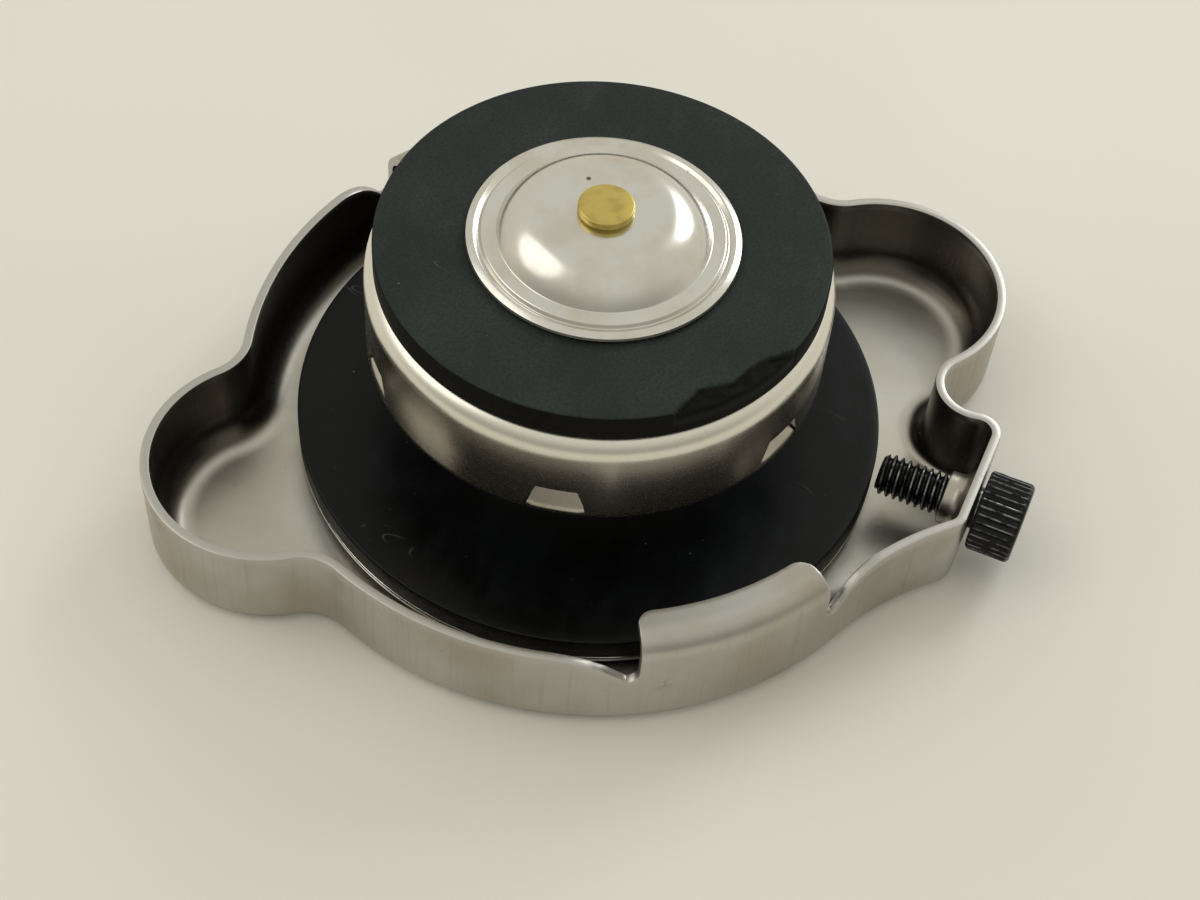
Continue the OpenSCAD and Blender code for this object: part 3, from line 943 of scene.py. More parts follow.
@dataclass
class Shell:
    """Drawn tray with two ears, two bent lugs beside their notches, and a boss for the screw."""

    sheet: float = 0.85
    body_r: float = 32.5
    rim_h: float = 9.7
    edge_r: float = 1.6
    # Inner rounding at the walls' foot, which is tight up to a distance from the boss
    foot_r: float = 3.2
    tight_reach: float = 8.0
    tight_fade: float = 7.0
    floor_margin: float = 0.3
    ear_r: float = 11.4
    ear_x: float = 31.1
    ear_hollow_r: float = 4.3
    dimple_depth: float = 1.1
    dimple_r: float = 7.5
    dimple_margin: float = 1.5
    lug_angle: float = 91.0
    lug_span: float = 32.0
    lug_top: float = 11.6
    lug_reach: float = 3.9
    lug_bend_r: float = 2.1
    lug_lead_r: float = 1.3
    lug_trail_r: float = 1.6
    notch_z: float = 6.6
    notch_r: float = 1.0
    notch_floor: float = 0.2
    lead_ramp_r: float = 9.3
    trail_ramp_r: float = 6.5
    boss_angle: float = 46.0
    boss_face: float = 37.1
    boss_flat: float = 9.8
    boss_shift: float = 0.3
    boss_corner_r: float = 2.2
    boss_hollow_r: float = 3.2
    boss_flank_r: float = 28.6
    collar_l: float = 2.1
    collar_wall: float = 0.45
    collar_flare_r: float = 1.3
    collar_end_r: float = 0.2
    collar_root: float = 0.4
    screw_z: float = 5.5
    screw_offset: float = 3.4
    bore_r: float = 2.06
    bore_flare: float = 0.6
    rivet_bore_r: float = 2.56
    # Rounding of the sheared edges, and the tear along the notches
    burr: float = 0.11
    ragged: float = 0.09
    ragged_scale: float = 2.1
    # How far the marks for the finish reach: bright edges, painted shade on the inner walls, draw lines
    bright_burrs: float = 2.5
    dark_from: float = 0.5
    upright_fade: float = 1.5
    # Fineness of the mesh: step along the outline, and steps in each section
    pitch: float = 0.35
    bend_steps: int = 10
    wall_steps: int = 7
    segments: int = 64

    def depth(self, skin: Skin) -> float:
        """How deep a face lies in the sheet, from its outer face."""
        return self.sheet * skin.value

    def boss_point(self, out: float, along: float) -> Point2:
        """A point by its distance out through the boss face and along it."""
        c, s = math.cos(math.radians(self.boss_angle)), math.sin(math.radians(self.boss_angle))
        return out * c + along * s, -out * s + along * c

    def screw_frame(self) -> Matrix:
        """Frame of the screw: z runs out along its axis.

        Returns:
            The frame, in millimetres.
        """
        turn = Matrix.Rotation(-math.radians(self.boss_angle), 4, "Z")
        aside = Matrix.Translation((0, self.screw_offset, 0))
        return Matrix.Translation((0, 0, self.screw_z)) @ turn @ aside @ Matrix.Rotation(math.pi / 2, 4, "Y")

    def arcs(self) -> list[Arc]:
        """The outline's rounds and hollows, counter-clockwise from the front of the body.

        Returns:
            The arcs, each starting where the last one ends.
        """
        middle = self.screw_offset + self.boss_shift
        inner = self.boss_face - self.boss_corner_r
        corner = self.boss_corner_r
        near = self.boss_point(inner, middle + self.boss_flat / 2)
        far = self.boss_point(inner, middle - self.boss_flat / 2)
        right, left, body = (self.ear_x, 0.0), (-self.ear_x, 0.0), (0.0, 0.0)
        hx, hy = touching(body, self.body_r, right, self.ear_r, self.ear_hollow_r, 1)
        rounds = [
            (body, self.body_r, 1),
            (touching(body, self.body_r, far, corner, self.boss_flank_r, -1), self.boss_flank_r, -1),
            (far, corner, 1),
            (near, corner, 1),
            (touching(right, self.ear_r, near, corner, self.boss_hollow_r, 1), self.boss_hollow_r, -1),
            (right, self.ear_r, 1),
            ((hx, hy), self.ear_hollow_r, -1),
            (body, self.body_r, 1),
            ((-hx, hy), self.ear_hollow_r, -1),
            (left, self.ear_r, 1),
            ((-hx, -hy), self.ear_hollow_r, -1),
        ]
        arcs = []
        for k, (centre, radius, side) in enumerate(rounds):
            start = heading(centre, rounds[k - 1][0])
            end = heading(centre, rounds[(k + 1) % len(rounds)][0])
            if centre == near:
                start = -math.radians(self.boss_angle)
            if centre == far:
                end = -math.radians(self.boss_angle)
            while side * (end - start) < 0:
                end += side * math.tau
            arcs.append(Arc(centre, radius, start, end))
        return arcs

    def lug_sides(self) -> list[tuple[float, int, float, float]]:
        """Angle, direction away from the lug, ramp radius and corner radius of each lug's sides.

        Returns:
            The four sides.
        """
        lead = (-1, self.lead_ramp_r, self.lug_lead_r)
        trail = (1, self.trail_ramp_r, self.lug_trail_r)
        return [
            (math.radians(middle + side * self.lug_span / 2), side, ramp, corner)
            for middle in (self.lug_angle, self.lug_angle + 180)
            for side, ramp, corner in (lead, trail)
        ]

    def notch_top(self, along: float, ramp_r: float) -> float | None:
        """Height of the sheared edge in a notch.

        Args:
            along: distance from the lug's side.
            ramp_r: radius of the ramp back up to the rim.

        Returns:
            The height, or nothing outside the notch.
        """
        corner = self.notch_r
        flat = corner + self.notch_floor
        drop = self.rim_h - self.notch_z
        end = flat + math.sqrt(ramp_r**2 - (ramp_r - drop) ** 2)
        if not -1e-6 <= along <= end:
            return None
        if along < corner:
            return self.notch_z + corner - math.sqrt(corner**2 - (corner - max(along, 0)) ** 2)
        if along < flat:
            return self.notch_z
        return self.rim_h - ramp_r + math.sqrt(ramp_r**2 - (end - along) ** 2)

    def station(self, place: Point2, out: Point2) -> Station:
        """Finds how the sheet ends at a place on the outline.

        Args:
            place: the point on the outer face.
            out: the outward direction there.

        Returns:
            The station.
        """
        angle = math.atan2(place[1], place[0])
        away = math.dist(place, self.boss_point(self.boss_face, self.screw_offset + self.boss_shift))
        clear = min(1.0, max(0.0, (away - self.tight_reach) / self.tight_fade))
        tight = self.edge_r - self.sheet
        foot = tight + (self.foot_r - tight) * clear * clear * (3 - 2 * clear)
        for lug in (self.lug_angle, self.lug_angle + 180):
            off = math.remainder(angle - math.radians(lug), math.tau)
            gap = math.radians(self.lug_span / 2) - abs(off)
            if gap > -1e-9 and abs(math.hypot(*place) - self.body_r) < 1e-6:
                corner = self.lug_lead_r if off < 0 else self.lug_trail_r
                along = max(0.0, gap * (self.body_r - self.lug_reach))
                spare = corner - math.sqrt(max(0.0, corner**2 - (corner - min(along, corner)) ** 2))
                side = max(0.0, gap * self.body_r)
                top = self.notch_z + self.notch_r
                return Station(place, out, top, foot, True, side, self.lug_reach - spare)
        for side_angle, side, ramp, _ in self.lug_sides():
            across = (-math.sin(side_angle), math.cos(side_angle))
            along = side * (place[0] * across[0] + place[1] * across[1])
            ahead = place[0] * math.cos(side_angle) + place[1] * math.sin(side_angle)
            top = self.notch_top(along, ramp) if ahead > 0 else None
            if top is not None:
                x, y = place[0] * self.ragged_scale, place[1] * self.ragged_scale
                tear = noise.noise(Vector((x, y, 3.0))) * self.ragged
                top += tear * min(1.0, along) * min(1.0, (self.rim_h - top) * 2)
                return Station(place, out, top, foot)
        return Station(place, out, self.rim_h, foot)

    def angles(self, arc: Arc) -> list[float]:
        """Angles along an arc, closer together where a lug starts.

        Args:
            arc: the arc.

        Returns:
            The angles in order, without the arc's end.
        """
        count = max(6, math.ceil(abs(arc.end - arc.start) * arc.radius / self.pitch))
        picked = [arc.start + (arc.end - arc.start) * k / count for k in range(count)]
        if arc.centre != (0.0, 0.0):
            return picked
        close = []
        for side_angle, side, _, corner in self.lug_sides():
            side_angle = arc.start + (side_angle - arc.start) % math.tau
            if not arc.start < side_angle < arc.end:
                continue
            outside = [self.notch_r * (1 - math.cos(math.radians(a))) for a in range(0, 91, 15)]
            inside = [corner * (1 - math.cos(math.radians(a))) for a in range(30, 91, 15)]
            inside += [HALF_ROUND * self.burr, self.burr]
            close += [side_angle + side * x / self.body_r for x in outside]
            close += [side_angle - side * x / self.body_r for x in inside]
        room = 0.3 * self.pitch / self.body_r
        picked = [a for a in picked if all(abs(a - b) > room for b in close)]
        return sorted(picked + [a for a in close if arc.start <= a < arc.end])

    def stations(self) -> list[Station]:
        """All places along the outline."""
        return [self.station(*arc.spot(a)) for arc in self.arcs() for a in self.angles(arc)]

    def edge_back(self, distance: float) -> float:
        """How far a face draws back near the sheared edge, which is slightly rounded."""
        short = self.burr - distance
        return self.burr - math.sqrt(self.burr**2 - short**2) if short > 0 else 0.0

    def wall_rows(self, spot: Station, skin: Skin) -> list[Point3]:
        """Section of the wall from the floor's edge up.

        Args:
            spot: the station.
            skin: which face of the sheet.

        Returns:
            Inset, height and distance from the sheared edge of each point.
        """
        depth = self.depth(skin)
        turn = spot.foot if skin is Skin.INNER else self.edge_r
        bend = depth + turn
        angles = [math.pi / 2 * (1 - k / self.bend_steps) for k in range(self.bend_steps)]
        rows = [(bend - turn * math.cos(a), bend - turn * math.sin(a), FAR) for a in angles]
        rise = spot.top - self.burr - bend
        heights = [bend + rise * k / self.wall_steps for k in range(self.wall_steps + 1)]
        for z in heights + [spot.top - HALF_ROUND * self.burr, spot.top]:
            below = max(0.0, spot.top - z)
            away = math.hypot(spot.side, below) if spot.in_lug else below
            back = self.edge_back(away)
            rows.append((depth + (-back if skin is Skin.INNER else back), z, away))
        return rows

    def lug_rows(self, spot: Station, skin: Skin) -> list[Point3]:
        """Section of a lug from the notch's height up, over the bend and in to its free edge.

        Args:
            spot: the station.
            skin: which face of the sheet.

        Returns:
            Inset, height and distance from the sheared edge of each point.
        """
        depth = self.depth(skin)
        bend_z = self.lug_top - self.lug_bend_r
        flat = spot.reach - self.burr - self.lug_bend_r
        insets = [self.lug_bend_r + flat * k / 4 for k in range(1, 5)]
        insets += [spot.reach - HALF_ROUND * self.burr, spot.reach]
        turns = [math.pi / 2 * k / self.bend_steps for k in range(1, self.bend_steps + 1)]
        sections = [(0.0, spot.top + (bend_z - spot.top) * k / 3, FAR) for k in range(1, 4)]
        sections += [(turn, bend_z, FAR) for turn in turns]
        sections += [(math.pi / 2, bend_z, spot.reach - inset) for inset in insets]
        rows = []
        for turn, z, left in sections:
            away = min(spot.side, left)
            back = self.edge_back(away)
            bend = self.lug_bend_r - depth + (back if skin is Skin.INNER else -back)
            inset = self.lug_bend_r - bend * math.cos(turn)
            if left < FAR:
                inset = spot.reach - left
            rows.append((inset, z + bend * math.sin(turn), away))
        return rows

    def column(self, draft: Draft, spot: Station, rows: list[Point3], skin: Skin) -> list[int]:
        """Adds one section's points with their marks.

        Args:
            draft: where the points go.
            spot: the station.
            rows: inset, height and distance from the sheared edge of each point.
            skin: which face of the sheet.

        Returns:
            The points' numbers.
        """
        column = []
        for inset, z, away in rows:
            rise = min(1.0, max(0.0, (z - self.sheet) / self.edge_r))
            marks = {
                "sheared": max(0.0, 1 - away / (self.bright_burrs * self.burr)),
                # The inside mark sets where the inner walls get painted shade
                "inside": skin.value * min(1.0, max(0.0, (z - self.sheet) / self.dark_from)),
                "tray": float(skin.value),
                "upright": rise * min(1.0, max(0.0, (self.lug_top - z) / self.upright_fade)),
            }
            column.append(draft.point(*spot.inward(inset), z, **marks))
        return column

    def floor(
        self, draft: Draft, spots: list[Station], columns: list[list[int]], skin: Skin, hub: list[int]
    ) -> None:
        """Closes one face of the floor, from the wall's rounding to the dimple.

        Args:
            draft: where the faces go.
            spots: all stations.
            columns: the wall's points at each station.
            skin: which face of the floor.
            hub: the dimple's rim on that face.
        """
        z = self.depth(skin)
        ring = []
        for spot in spots:
            bend = z + spot.foot if skin is Skin.INNER else self.edge_r
            ring.append(draft.point(*spot.inward(bend + self.floor_margin), z, tray=float(skin.value)))
        draft.strip([column[0] for column in columns], ring, True)
        loops = [ring, hub]
        flat = ring + hub
        for face in tessellate_polygon([[Vector(draft.points[k]) for k in loop] for loop in loops]):
            draft.faces.append(tuple(flat[k] for k in face))

    def dimple(self, draft: Draft) -> tuple[list[int], list[int]]:
        """Adds the dimple with its rivet hole and returns its rims on the two faces of the floor.

        Args:
            draft: where the points go.

        Returns:
            The rim on the outer face and the rim on the inner face.
        """
        slope, t, hole = self.dimple_depth, self.sheet, self.rivet_bore_r
        below, above = self.dimple_r, self.dimple_r + t
        corners = [
            (below + self.dimple_margin, 0, 0), (below, 0, 0.7), (below - slope, slope, 0.5),
            (hole, slope, 0.08), (hole, slope + t, 0.08), (above - slope, slope + t, 0.7),
            (above, t, 0.5), (above + self.dimple_margin, t, 0),
        ]
        rows = draft.lathe(rounded(corners), 96)
        return rows[0], rows[-1]

    def sheet_draft(self) -> Draft:
        """The whole bent sheet, closed, but for the bore through the boss.

        Returns:
            The draft.
        """
        draft = Draft()
        spots = self.stations()
        outer = [self.column(draft, s, self.wall_rows(s, Skin.OUTER), Skin.OUTER) for s in spots]
        inner = [self.column(draft, s, self.wall_rows(s, Skin.INNER), Skin.INNER) for s in spots]
        bent = {
            k: [
                [wall[k][-1]] + self.column(draft, s, self.lug_rows(s, skin), skin)
                for wall, skin in ((outer, Skin.OUTER), (inner, Skin.INNER))
            ]
            for k, s in enumerate(spots)
            if s.in_lug
        }
        for k in range(len(spots)):
            after = (k + 1) % len(spots)
            draft.strip(outer[k], outer[after])
            draft.strip(inner[k], inner[after])
            if k in bent and after in bent:
                draft.strip(bent[k][0], bent[after][0])
                draft.strip(bent[k][1], bent[after][1])
                draft.strip([bent[k][0][-1], bent[after][0][-1]], [bent[k][1][-1], bent[after][1][-1]])
            else:
                draft.strip([outer[k][-1], outer[after][-1]], [inner[k][-1], inner[after][-1]])
            if k in bent and (after not in bent or k - 1 not in bent):
                draft.strip(bent[k][0], bent[k][1])
        hubs = self.dimple(draft)
        self.floor(draft, spots, outer, Skin.OUTER, hubs[0])
        self.floor(draft, spots, inner, Skin.INNER, hubs[1])
        return draft

    def bore_tool(self) -> bpy.types.Object:
        """Cutter for the screw's bore, slightly flared at the outer face.

        Returns:
            The cutter.
        """
        inside, outside = self.boss_face - self.sheet - 1, self.boss_face + 0.35
        path = [
            (0, inside), (self.bore_r, inside), (self.bore_r, self.boss_face - 0.25),
            (self.bore_r + self.bore_flare, outside), (0, outside),
        ]
        return turned("bore_tool", path, self.segments, place=self.screw_frame())

    def collar(self) -> bpy.types.Object:
        """Collar drawn inwards round the bore, with a round root and a rolled end.

        Returns:
            The collar, as an object of its own.
        """
        wall = self.boss_face - self.sheet
        end, foot, root = wall - self.collar_l, wall - 0.01, wall + self.collar_root
        outside = self.bore_r + self.collar_wall
        flare = outside + self.collar_flare_r + 0.05
        corners = [
            (self.bore_r, root, 0), (self.bore_r, end, self.collar_end_r), (outside, end, self.collar_end_r),
            (outside, foot, self.collar_flare_r), (flare, foot, 0), (flare, root, 0),
        ]
        path = rounded(corners, True, self.bend_steps)
        return turned("collar", path, self.segments, True, self.screw_frame())

    def build(self, finish: Finish) -> bpy.types.Object:
        """Builds and dresses the shell.

        Args:
            finish: what it is dressed with.

        Returns:
            The piece.
        """
        thing = piece("shell_sheet", self.sheet_draft().mesh("shell_sheet"))
        cut(thing, self.bore_tool())
        absorb(thing, self.collar())
        return Place("shell", Body.SHELL, "shell_steel").install(thing, finish)


@dataclass
class Swivel:
    """What turns with the valve on the shell: friction plate, seal, bell and the rivet through them."""

    plate_z: float = 2.0
    plate_t: float = 0.5
    plate_r: float = 27.5
    seal_r: float = 27.5
    seal_t: float = 2.45
    rivet_r: float = 2.5
    rivet_head_r: float = 5.0
    rivet_clench_r: float = 4.2
    rivet_clench_h: float = 1.1
    head_z: float = 0.05
    head_t: float = 1.0
    bell_r: float = 13.4
    bell_t: float = 0.6
    bell_h: float = 15.7
    bell_flange_r: float = 19.4
    bell_bend_r: float = 1.5
    slip: float = 0.05
    segments: int = 128

    @property
    def bell_z(self) -> float:
        """Height of the bell's foot and the seal's underside."""
        return self.plate_z + self.plate_t

    def build_plate(self, finish: Finish) -> bpy.types.Object:
        """Builds and dresses the friction plate.

        Args:
            finish: what it is dressed with.

        Returns:
            The piece.
        """
        low, high, inner, outer = self.plate_z, self.bell_z, self.rivet_r, self.plate_r
        corners = [(inner, low, 0.05), (outer, low, 0.15), (outer, high, 0.2), (inner, high, 0.05)]
        thing = turned("friction_disc", rounded(corners, True), self.segments, True)
        return Place("friction_plate", Body.VALVE, "plate_steel").install(thing, finish)

    def build_seal(self, finish: Finish) -> bpy.types.Object:
        """Builds and dresses the upper seal.

        Args:
            finish: what it is dressed with.

        Returns:
            The piece.
        """
        low, high = self.bell_z, self.bell_z + self.seal_t
        inner, outer = self.bell_r + self.slip, self.seal_r
        corners = [
            (inner, low, 0.1), (outer, low, 0.3), (outer, high, 0.22), (outer - 1.0, high, 0),
            (outer - 6.0, high, 0), (inner + 1.0, high, 0), (inner, high, 0.2),
        ]
        thing = turned("upper_seal_ring", rounded(corners, True), 192, True)
        return Place("upper_seal", Body.VALVE, "seal_rubber").install(thing, finish)

    def build_bell(self, finish: Finish) -> bpy.types.Object:
        """Builds and dresses the bell that holds the spring.

        Args:
            finish: what it is dressed with.

        Returns:
            The piece.
        """
        low, top, t, bend = self.bell_z, self.bell_z + self.bell_h, self.bell_t, self.bell_bend_r
        hole, wall, flange = self.rivet_r, self.bell_r, self.bell_flange_r
        corners = [
            (hole, low + t, 0), (wall - t, low + t, bend - t), (wall - t, top, bend), (flange, top, 0.2),
            (flange, top - t, 0.2), (wall, top - t, bend - t), (wall, low, bend), (hole, low, 0),
        ]
        thing = turned("spring_bell_sheet", rounded(corners, True), self.segments, True)
        return Place("spring_bell", Body.VALVE, "bell_steel").install(thing, finish)

    def build_rivet(self, finish: Finish) -> bpy.types.Object:
        """Builds and dresses the rivet: a low head in the dimple and a clenched end in the bell.

        Args:
            finish: what it is dressed with.

        Returns:
            The piece.
        """
        foot, under = self.head_z, self.head_z + self.head_t
        clench = self.bell_z + self.bell_t
        top = clench + self.rivet_clench_h
        shank, head = self.rivet_r, self.rivet_head_r
        corners = [
            (0, foot + 0.12, 0), (1.2, foot + 0.1, 0.3), (2.0, foot, 0.8), (head - 0.3, foot, 0.5),
            (head, foot + 0.45, 0.4), (head, under, 0.1), (shank, under, 0.05), (shank, clench, 0.02),
            (self.rivet_clench_r, clench, 0.1), (shank, top, 0.5), (0, top, 0),
        ]
        thing = turned("swivel_rivet_pin", rounded(corners), 96)
        return Place("swivel_rivet", Body.VALVE, "rivet_steel").install(thing, finish)


class Rule(Tree):
    """A geometry tree with named inputs, ended by realised instances and a material."""

    def __init__(self, name: str, **sizes: float) -> None:
        """Starts a tree whose inputs have the given names and values.

        Args:
            name: the tree's name.
            sizes: the named inputs' values.
        """
        super().__init__(bpy.data.node_groups.new(name, "GeometryNodeTree"))
        face = self.tree.interface
        face.new_socket("Geometry", in_out="INPUT", socket_type="NodeSocketGeometry")
        face.new_socket("Geometry", in_out="OUTPUT", socket_type="NodeSocketGeometry")
        kinds = {int: "NodeSocketInt", float: "NodeSocketFloat"}
        self.sizes = {
            face.new_socket(key, in_out="INPUT", socket_type=kinds[type(value)]).identifier: value
            for key, value in sizes.items()
        }
        self.given = self.node("NodeGroupInput", out="Geometry")

    def size(self, name: str) -> Flow:
        """One of the named inputs."""
        return self.given.beside(name)

    def marked(self, geometry: Flow, name: str, value: Flow) -> Flow:
        """The geometry with a value stored on its points under a name."""
        settings = {"data_type": "FLOAT", "domain": "POINT"}
        sockets = {"Geometry": geometry, "Name": name, "Value": value}
        return self.node("GeometryNodeStoreNamedAttribute", settings, sockets)

    def moved(self, geometry: Flow, place: Flow) -> Flow:
        """The geometry with its points at new places."""
        return self.node("GeometryNodeSetPosition", None, {"Geometry": geometry, "Position": place})

    def end(self, geometry: Flow, finish: bpy.types.Material) -> None:
        """Realises the instances, sets the material and ends the tree.

        Args:
            geometry: the result.
            finish: its material.
        """
        real = self.node("GeometryNodeRealizeInstances", None, {"Geometry": geometry})
        dressed = self.node("GeometryNodeSetMaterial", None, {"Geometry": real, "Material": finish})
        self.node("NodeGroupOutput", None, {"Geometry": dressed})

    def run(self, thing: bpy.types.Object) -> bpy.types.Object:
        """Runs the tree on an object and keeps the result as its plain mesh.

        Args:
            thing: the object.

        Returns:
            The same object.
        """
        change = thing.modifiers.new(self.tree.name, "NODES")
        change.node_group = self.tree
        for key, value in self.sizes.items():
            change[key] = value
        return settle(thing)


@dataclass
class PressureValve:
    """Cup with lanced tabs that hook under the bell's flange, and the gasket on top of it."""

    cup_r: float = 20.85
    cup_t: float = 0.6
    cup_z: float = 14.35
    cup_h: float = 9.65
    cup_bend_r: float = 1.9
    tab_count: int = 6
    tab_angle: float = 58.0
    tab_h: float = 3.2
    tab_top_w: float = 3.7
    tab_foot_w: float = 5.8
    tab_push: float = 1.9
    tab_band: float = 0.6
    tab_gap: float = 0.15
    web_rise: float = 1.0
    web_r: float = 9.3
    stem_bore_r: float = 1.46
    vent_count: int = 4
    vent_r: float = 1.2
    vent_circle_r: float = 6.6
    edge: float = 0.18
    # Fineness of one tab's share of the cup, and the width in which shares are welded
    segment_steps: int = 7
    tab_steps: int = 8
    window_rows: int = 6
    weld: float = 0.004
    gasket_r: float = 20.0
    gasket_t: float = 2.75
    gasket_edge_r: float = 0.25
    # Worn stretch of the gasket's top edge, in degrees, and its shape
    worn_from: float = -96.0
    worn_to: float = -58.0
    worn_width: float = 1.7
    worn_depth: float = 0.6
    worn_lip: float = 1.6
    worn_end: float = 12.0
    worn_bank: float = 0.22
    slip: float = 0.05

    def half_width(self, z: float) -> float:
        """Half the window's width at a height above the cup's edge."""
        lean = (self.tab_foot_w - self.tab_top_w) / 2 / self.tab_h
        return self.tab_foot_w / 2 - lean * min(max(z, self.tab_band), self.tab_h + self.tab_gap)

    def spread(self, z: float) -> list[float]:
        """Places round the cup of one segment's columns at a height, from the tab's middle.

        Args:
            z: height above the cup's edge.

        Returns:
            The places, in millimetres along the wall.
        """
        span = math.pi / self.tab_count * self.cup_r
        window = self.half_width(z)
        tab = window - self.tab_gap
        left = [-span + (span - window) * k / self.segment_steps for k in range(self.segment_steps)]
        leaf = [-tab + 2 * tab * k / self.tab_steps for k in range(self.tab_steps + 1)]
        return left + [-window] + leaf + [window] + [-x for x in left[::-1]]

    def row(self, draft: Draft, places: Sequence[float], r: float, z: float) -> list[int]:
        """Adds a row of points round the cup at a radius and height."""
        angles = [x / self.cup_r for x in places]
        return [draft.point(r * math.cos(a), r * math.sin(a), self.cup_z + z) for a in angles]

    def cup_path(self, skin: Skin) -> list[Point2]:
        """Section of the cup's wall, shoulder, flat and web, from its edge to the stem's bore.

        Args:
            skin: which face of the sheet.

        Returns:
            Radius, and height above the cup's edge, of each point.
        """
        t = self.cup_t if skin is Skin.INNER else 0.0
        side = -1 if skin is Skin.INNER else 1
        r, top = self.cup_r - t, self.cup_h - t
        e, half = self.edge, HALF_ROUND * self.edge
        web, window_top = self.web_r - t, self.tab_h + self.tab_gap
        path = [(r - side * back, z) for z, back in ((0, e), (half, half), (e, 0))]
        window = window_top - self.tab_band
        path += [(r, self.tab_band + window * k / self.window_rows) for k in range(self.window_rows + 1)]
        corners = [
            (r, window_top, 0), (r, top, self.cup_bend_r - t), (web, top, 0.25),
            (web, top + self.web_rise, 0.25), (self.stem_bore_r, top + self.web_rise, 0),
        ]
        return path + rounded(corners, steps=8)[1:]

    def push(self, z: float) -> float:
        """How far the tab leans in at a height."""
        share = (z - self.tab_band) / (self.tab_h - self.tab_band)
        return self.tab_push * share**1.12

    def segment(self) -> Draft:
        """One tab's share of the cup: both faces, the window, the tab and all sheared edges.

        Returns:
            The draft.
        """
        draft = Draft()
        skins = [
            [self.row(draft, self.spread(z), r, z) for r, z in self.cup_path(skin)]
            for skin in (Skin.OUTER, Skin.INNER)
        ]
        # Rows and columns between which the window lies
        low, high = 3, 3 + self.window_rows
        first, last = self.segment_steps, self.segment_steps + self.tab_steps + 2
        for rows in skins:
            for k in range(len(rows) - 1):
                if low <= k < high:
                    draft.strip(rows[k][: first + 1], rows[k + 1][: first + 1])
                    draft.strip(rows[k][last:], rows[k + 1][last:])
                else:
                    draft.strip(rows[k], rows[k + 1])
        outer, inner = skins
        draft.strip(outer[0], inner[0])
        draft.strip(outer[-1], inner[-1])
        window = slice(low, high + 1)
        for column in (first, last):
            draft.strip([row[column] for row in outer[window]], [row[column] for row in inner[window]])
        draft.strip(outer[high][first : last + 1], inner[high][first : last + 1])
        for pair in ((first, first + 2), (last - 1, last + 1)):
            draft.strip(outer[low][slice(*pair)], inner[low][slice(*pair)])
        faces = [[rows[low][first + 1 : last]] for rows in skins]
        for k in range(1, self.window_rows + 1):
            z = self.tab_band + (self.tab_h - self.tab_band) * k / self.window_rows
            places = self.spread(z)[first + 1 : last]
            for rows, t in zip(faces, (0.0, self.cup_t)):
                rows.append(self.row(draft, places, self.cup_r - self.push(z) - t, z))
        for rows in faces:
            for below, above in zip(rows, rows[1:]):
                draft.strip(below, above)
        for column in (0, -1):
            draft.strip([row[column] for row in faces[0]], [row[column] for row in faces[1]])
        draft.strip(faces[0][-1], faces[1][-1])
        return draft

    def repeat_rule(self, finish: bpy.types.Material) -> Rule:
        """Geometry tree that sets one segment round the axis and welds the seams.

        Args:
            finish: the material that it ends with.

        Returns:
            The tree.
        """
        sizes = {"Count": self.tab_count, "First": math.radians(self.tab_angle), "Weld": self.weld * MM}
        rule = Rule("cup_segments", **sizes)
        number = rule.node("GeometryNodeInputIndex")
        turn = rule.size("First") + number * math.tau / rule.size("Count")
        rotation = rule.node("FunctionNodeAxisAngleToRotation", None, {"Axis": (0, 0, 1), "Angle": turn})
        spots = rule.node("GeometryNodePoints", None, {"Count": rule.size("Count")})
        sockets = {"Points": spots, "Instance": rule.given, "Rotation": rotation}
        ring = rule.node("GeometryNodeInstanceOnPoints", None, sockets)
        real = rule.node("GeometryNodeRealizeInstances", None, {"Geometry": ring})
        sockets = {"Geometry": real, "Distance": rule.size("Weld")}
        rule.end(rule.node("GeometryNodeMergeByDistance", None, sockets), finish)
        return rule

    def vent_tool(self) -> bpy.types.Object:
        """Cutter for the vent holes in the web.

        Returns:
            The cutter.
        """
        draft = Draft()
        web = self.cup_z + self.cup_h + self.web_rise - self.cup_t / 2
        for k in range(self.vent_count):
            turn = math.tau * (k + 0.5) / self.vent_count
            middle = Vector((math.cos(turn), math.sin(turn))) * self.vent_circle_r
            start = len(draft.points)
            draft.lathe([(0, -1), (self.vent_r, -1), (self.vent_r, 1), (0, 1)], 32)
            for number, (x, y, z) in enumerate(draft.points[start:], start):
                draft.points[number] = (x + middle.x, y + middle.y, z + web)
        return piece("vent_tool", draft.mesh("vent_tool"))

    def build_cup(self, finish: Finish) -> bpy.types.Object:
        """Builds and dresses the cup.

        Args:
            finish: what it is dressed with.

        Returns:
            The piece.
        """
        thing = piece("pressure_cup_sheet", self.segment().mesh("pressure_cup_sheet"))
        self.repeat_rule(finish.material()).run(thing)
        cut(thing, self.vent_tool())
        return Place("pressure_cup", Body.PRESSURE, "cup_steel").install(thing, finish)

    def wear(self, r: float, angle: float) -> float:
        """Share by which the gasket's top edge is worn away at a place, from 0 to 1.

        Args:
            r: distance from the axis.
            angle: angle about the axis, in radians.

        Returns:
            The share.
        """
        degrees = math.degrees(math.remainder(angle, math.tau))
        ends = min(1.0, min(degrees - self.worn_from, self.worn_to - degrees) / self.worn_end)
        if ends <= 0:
            return 0.0
        rough = noise.noise(Vector((math.cos(angle) * 6, math.sin(angle) * 6, 0.3)))
        fine = noise.noise(Vector((math.cos(angle) * 26, math.sin(angle) * 26, r * 0.5)))
        width = self.worn_width * ends * (2 - ends) * (0.8 + 0.6 * rough + 0.1 * fine)
        return min(1.0, max(0.0, (r - self.gasket_r + width) / self.worn_bank)) if width > 0 else 0.0

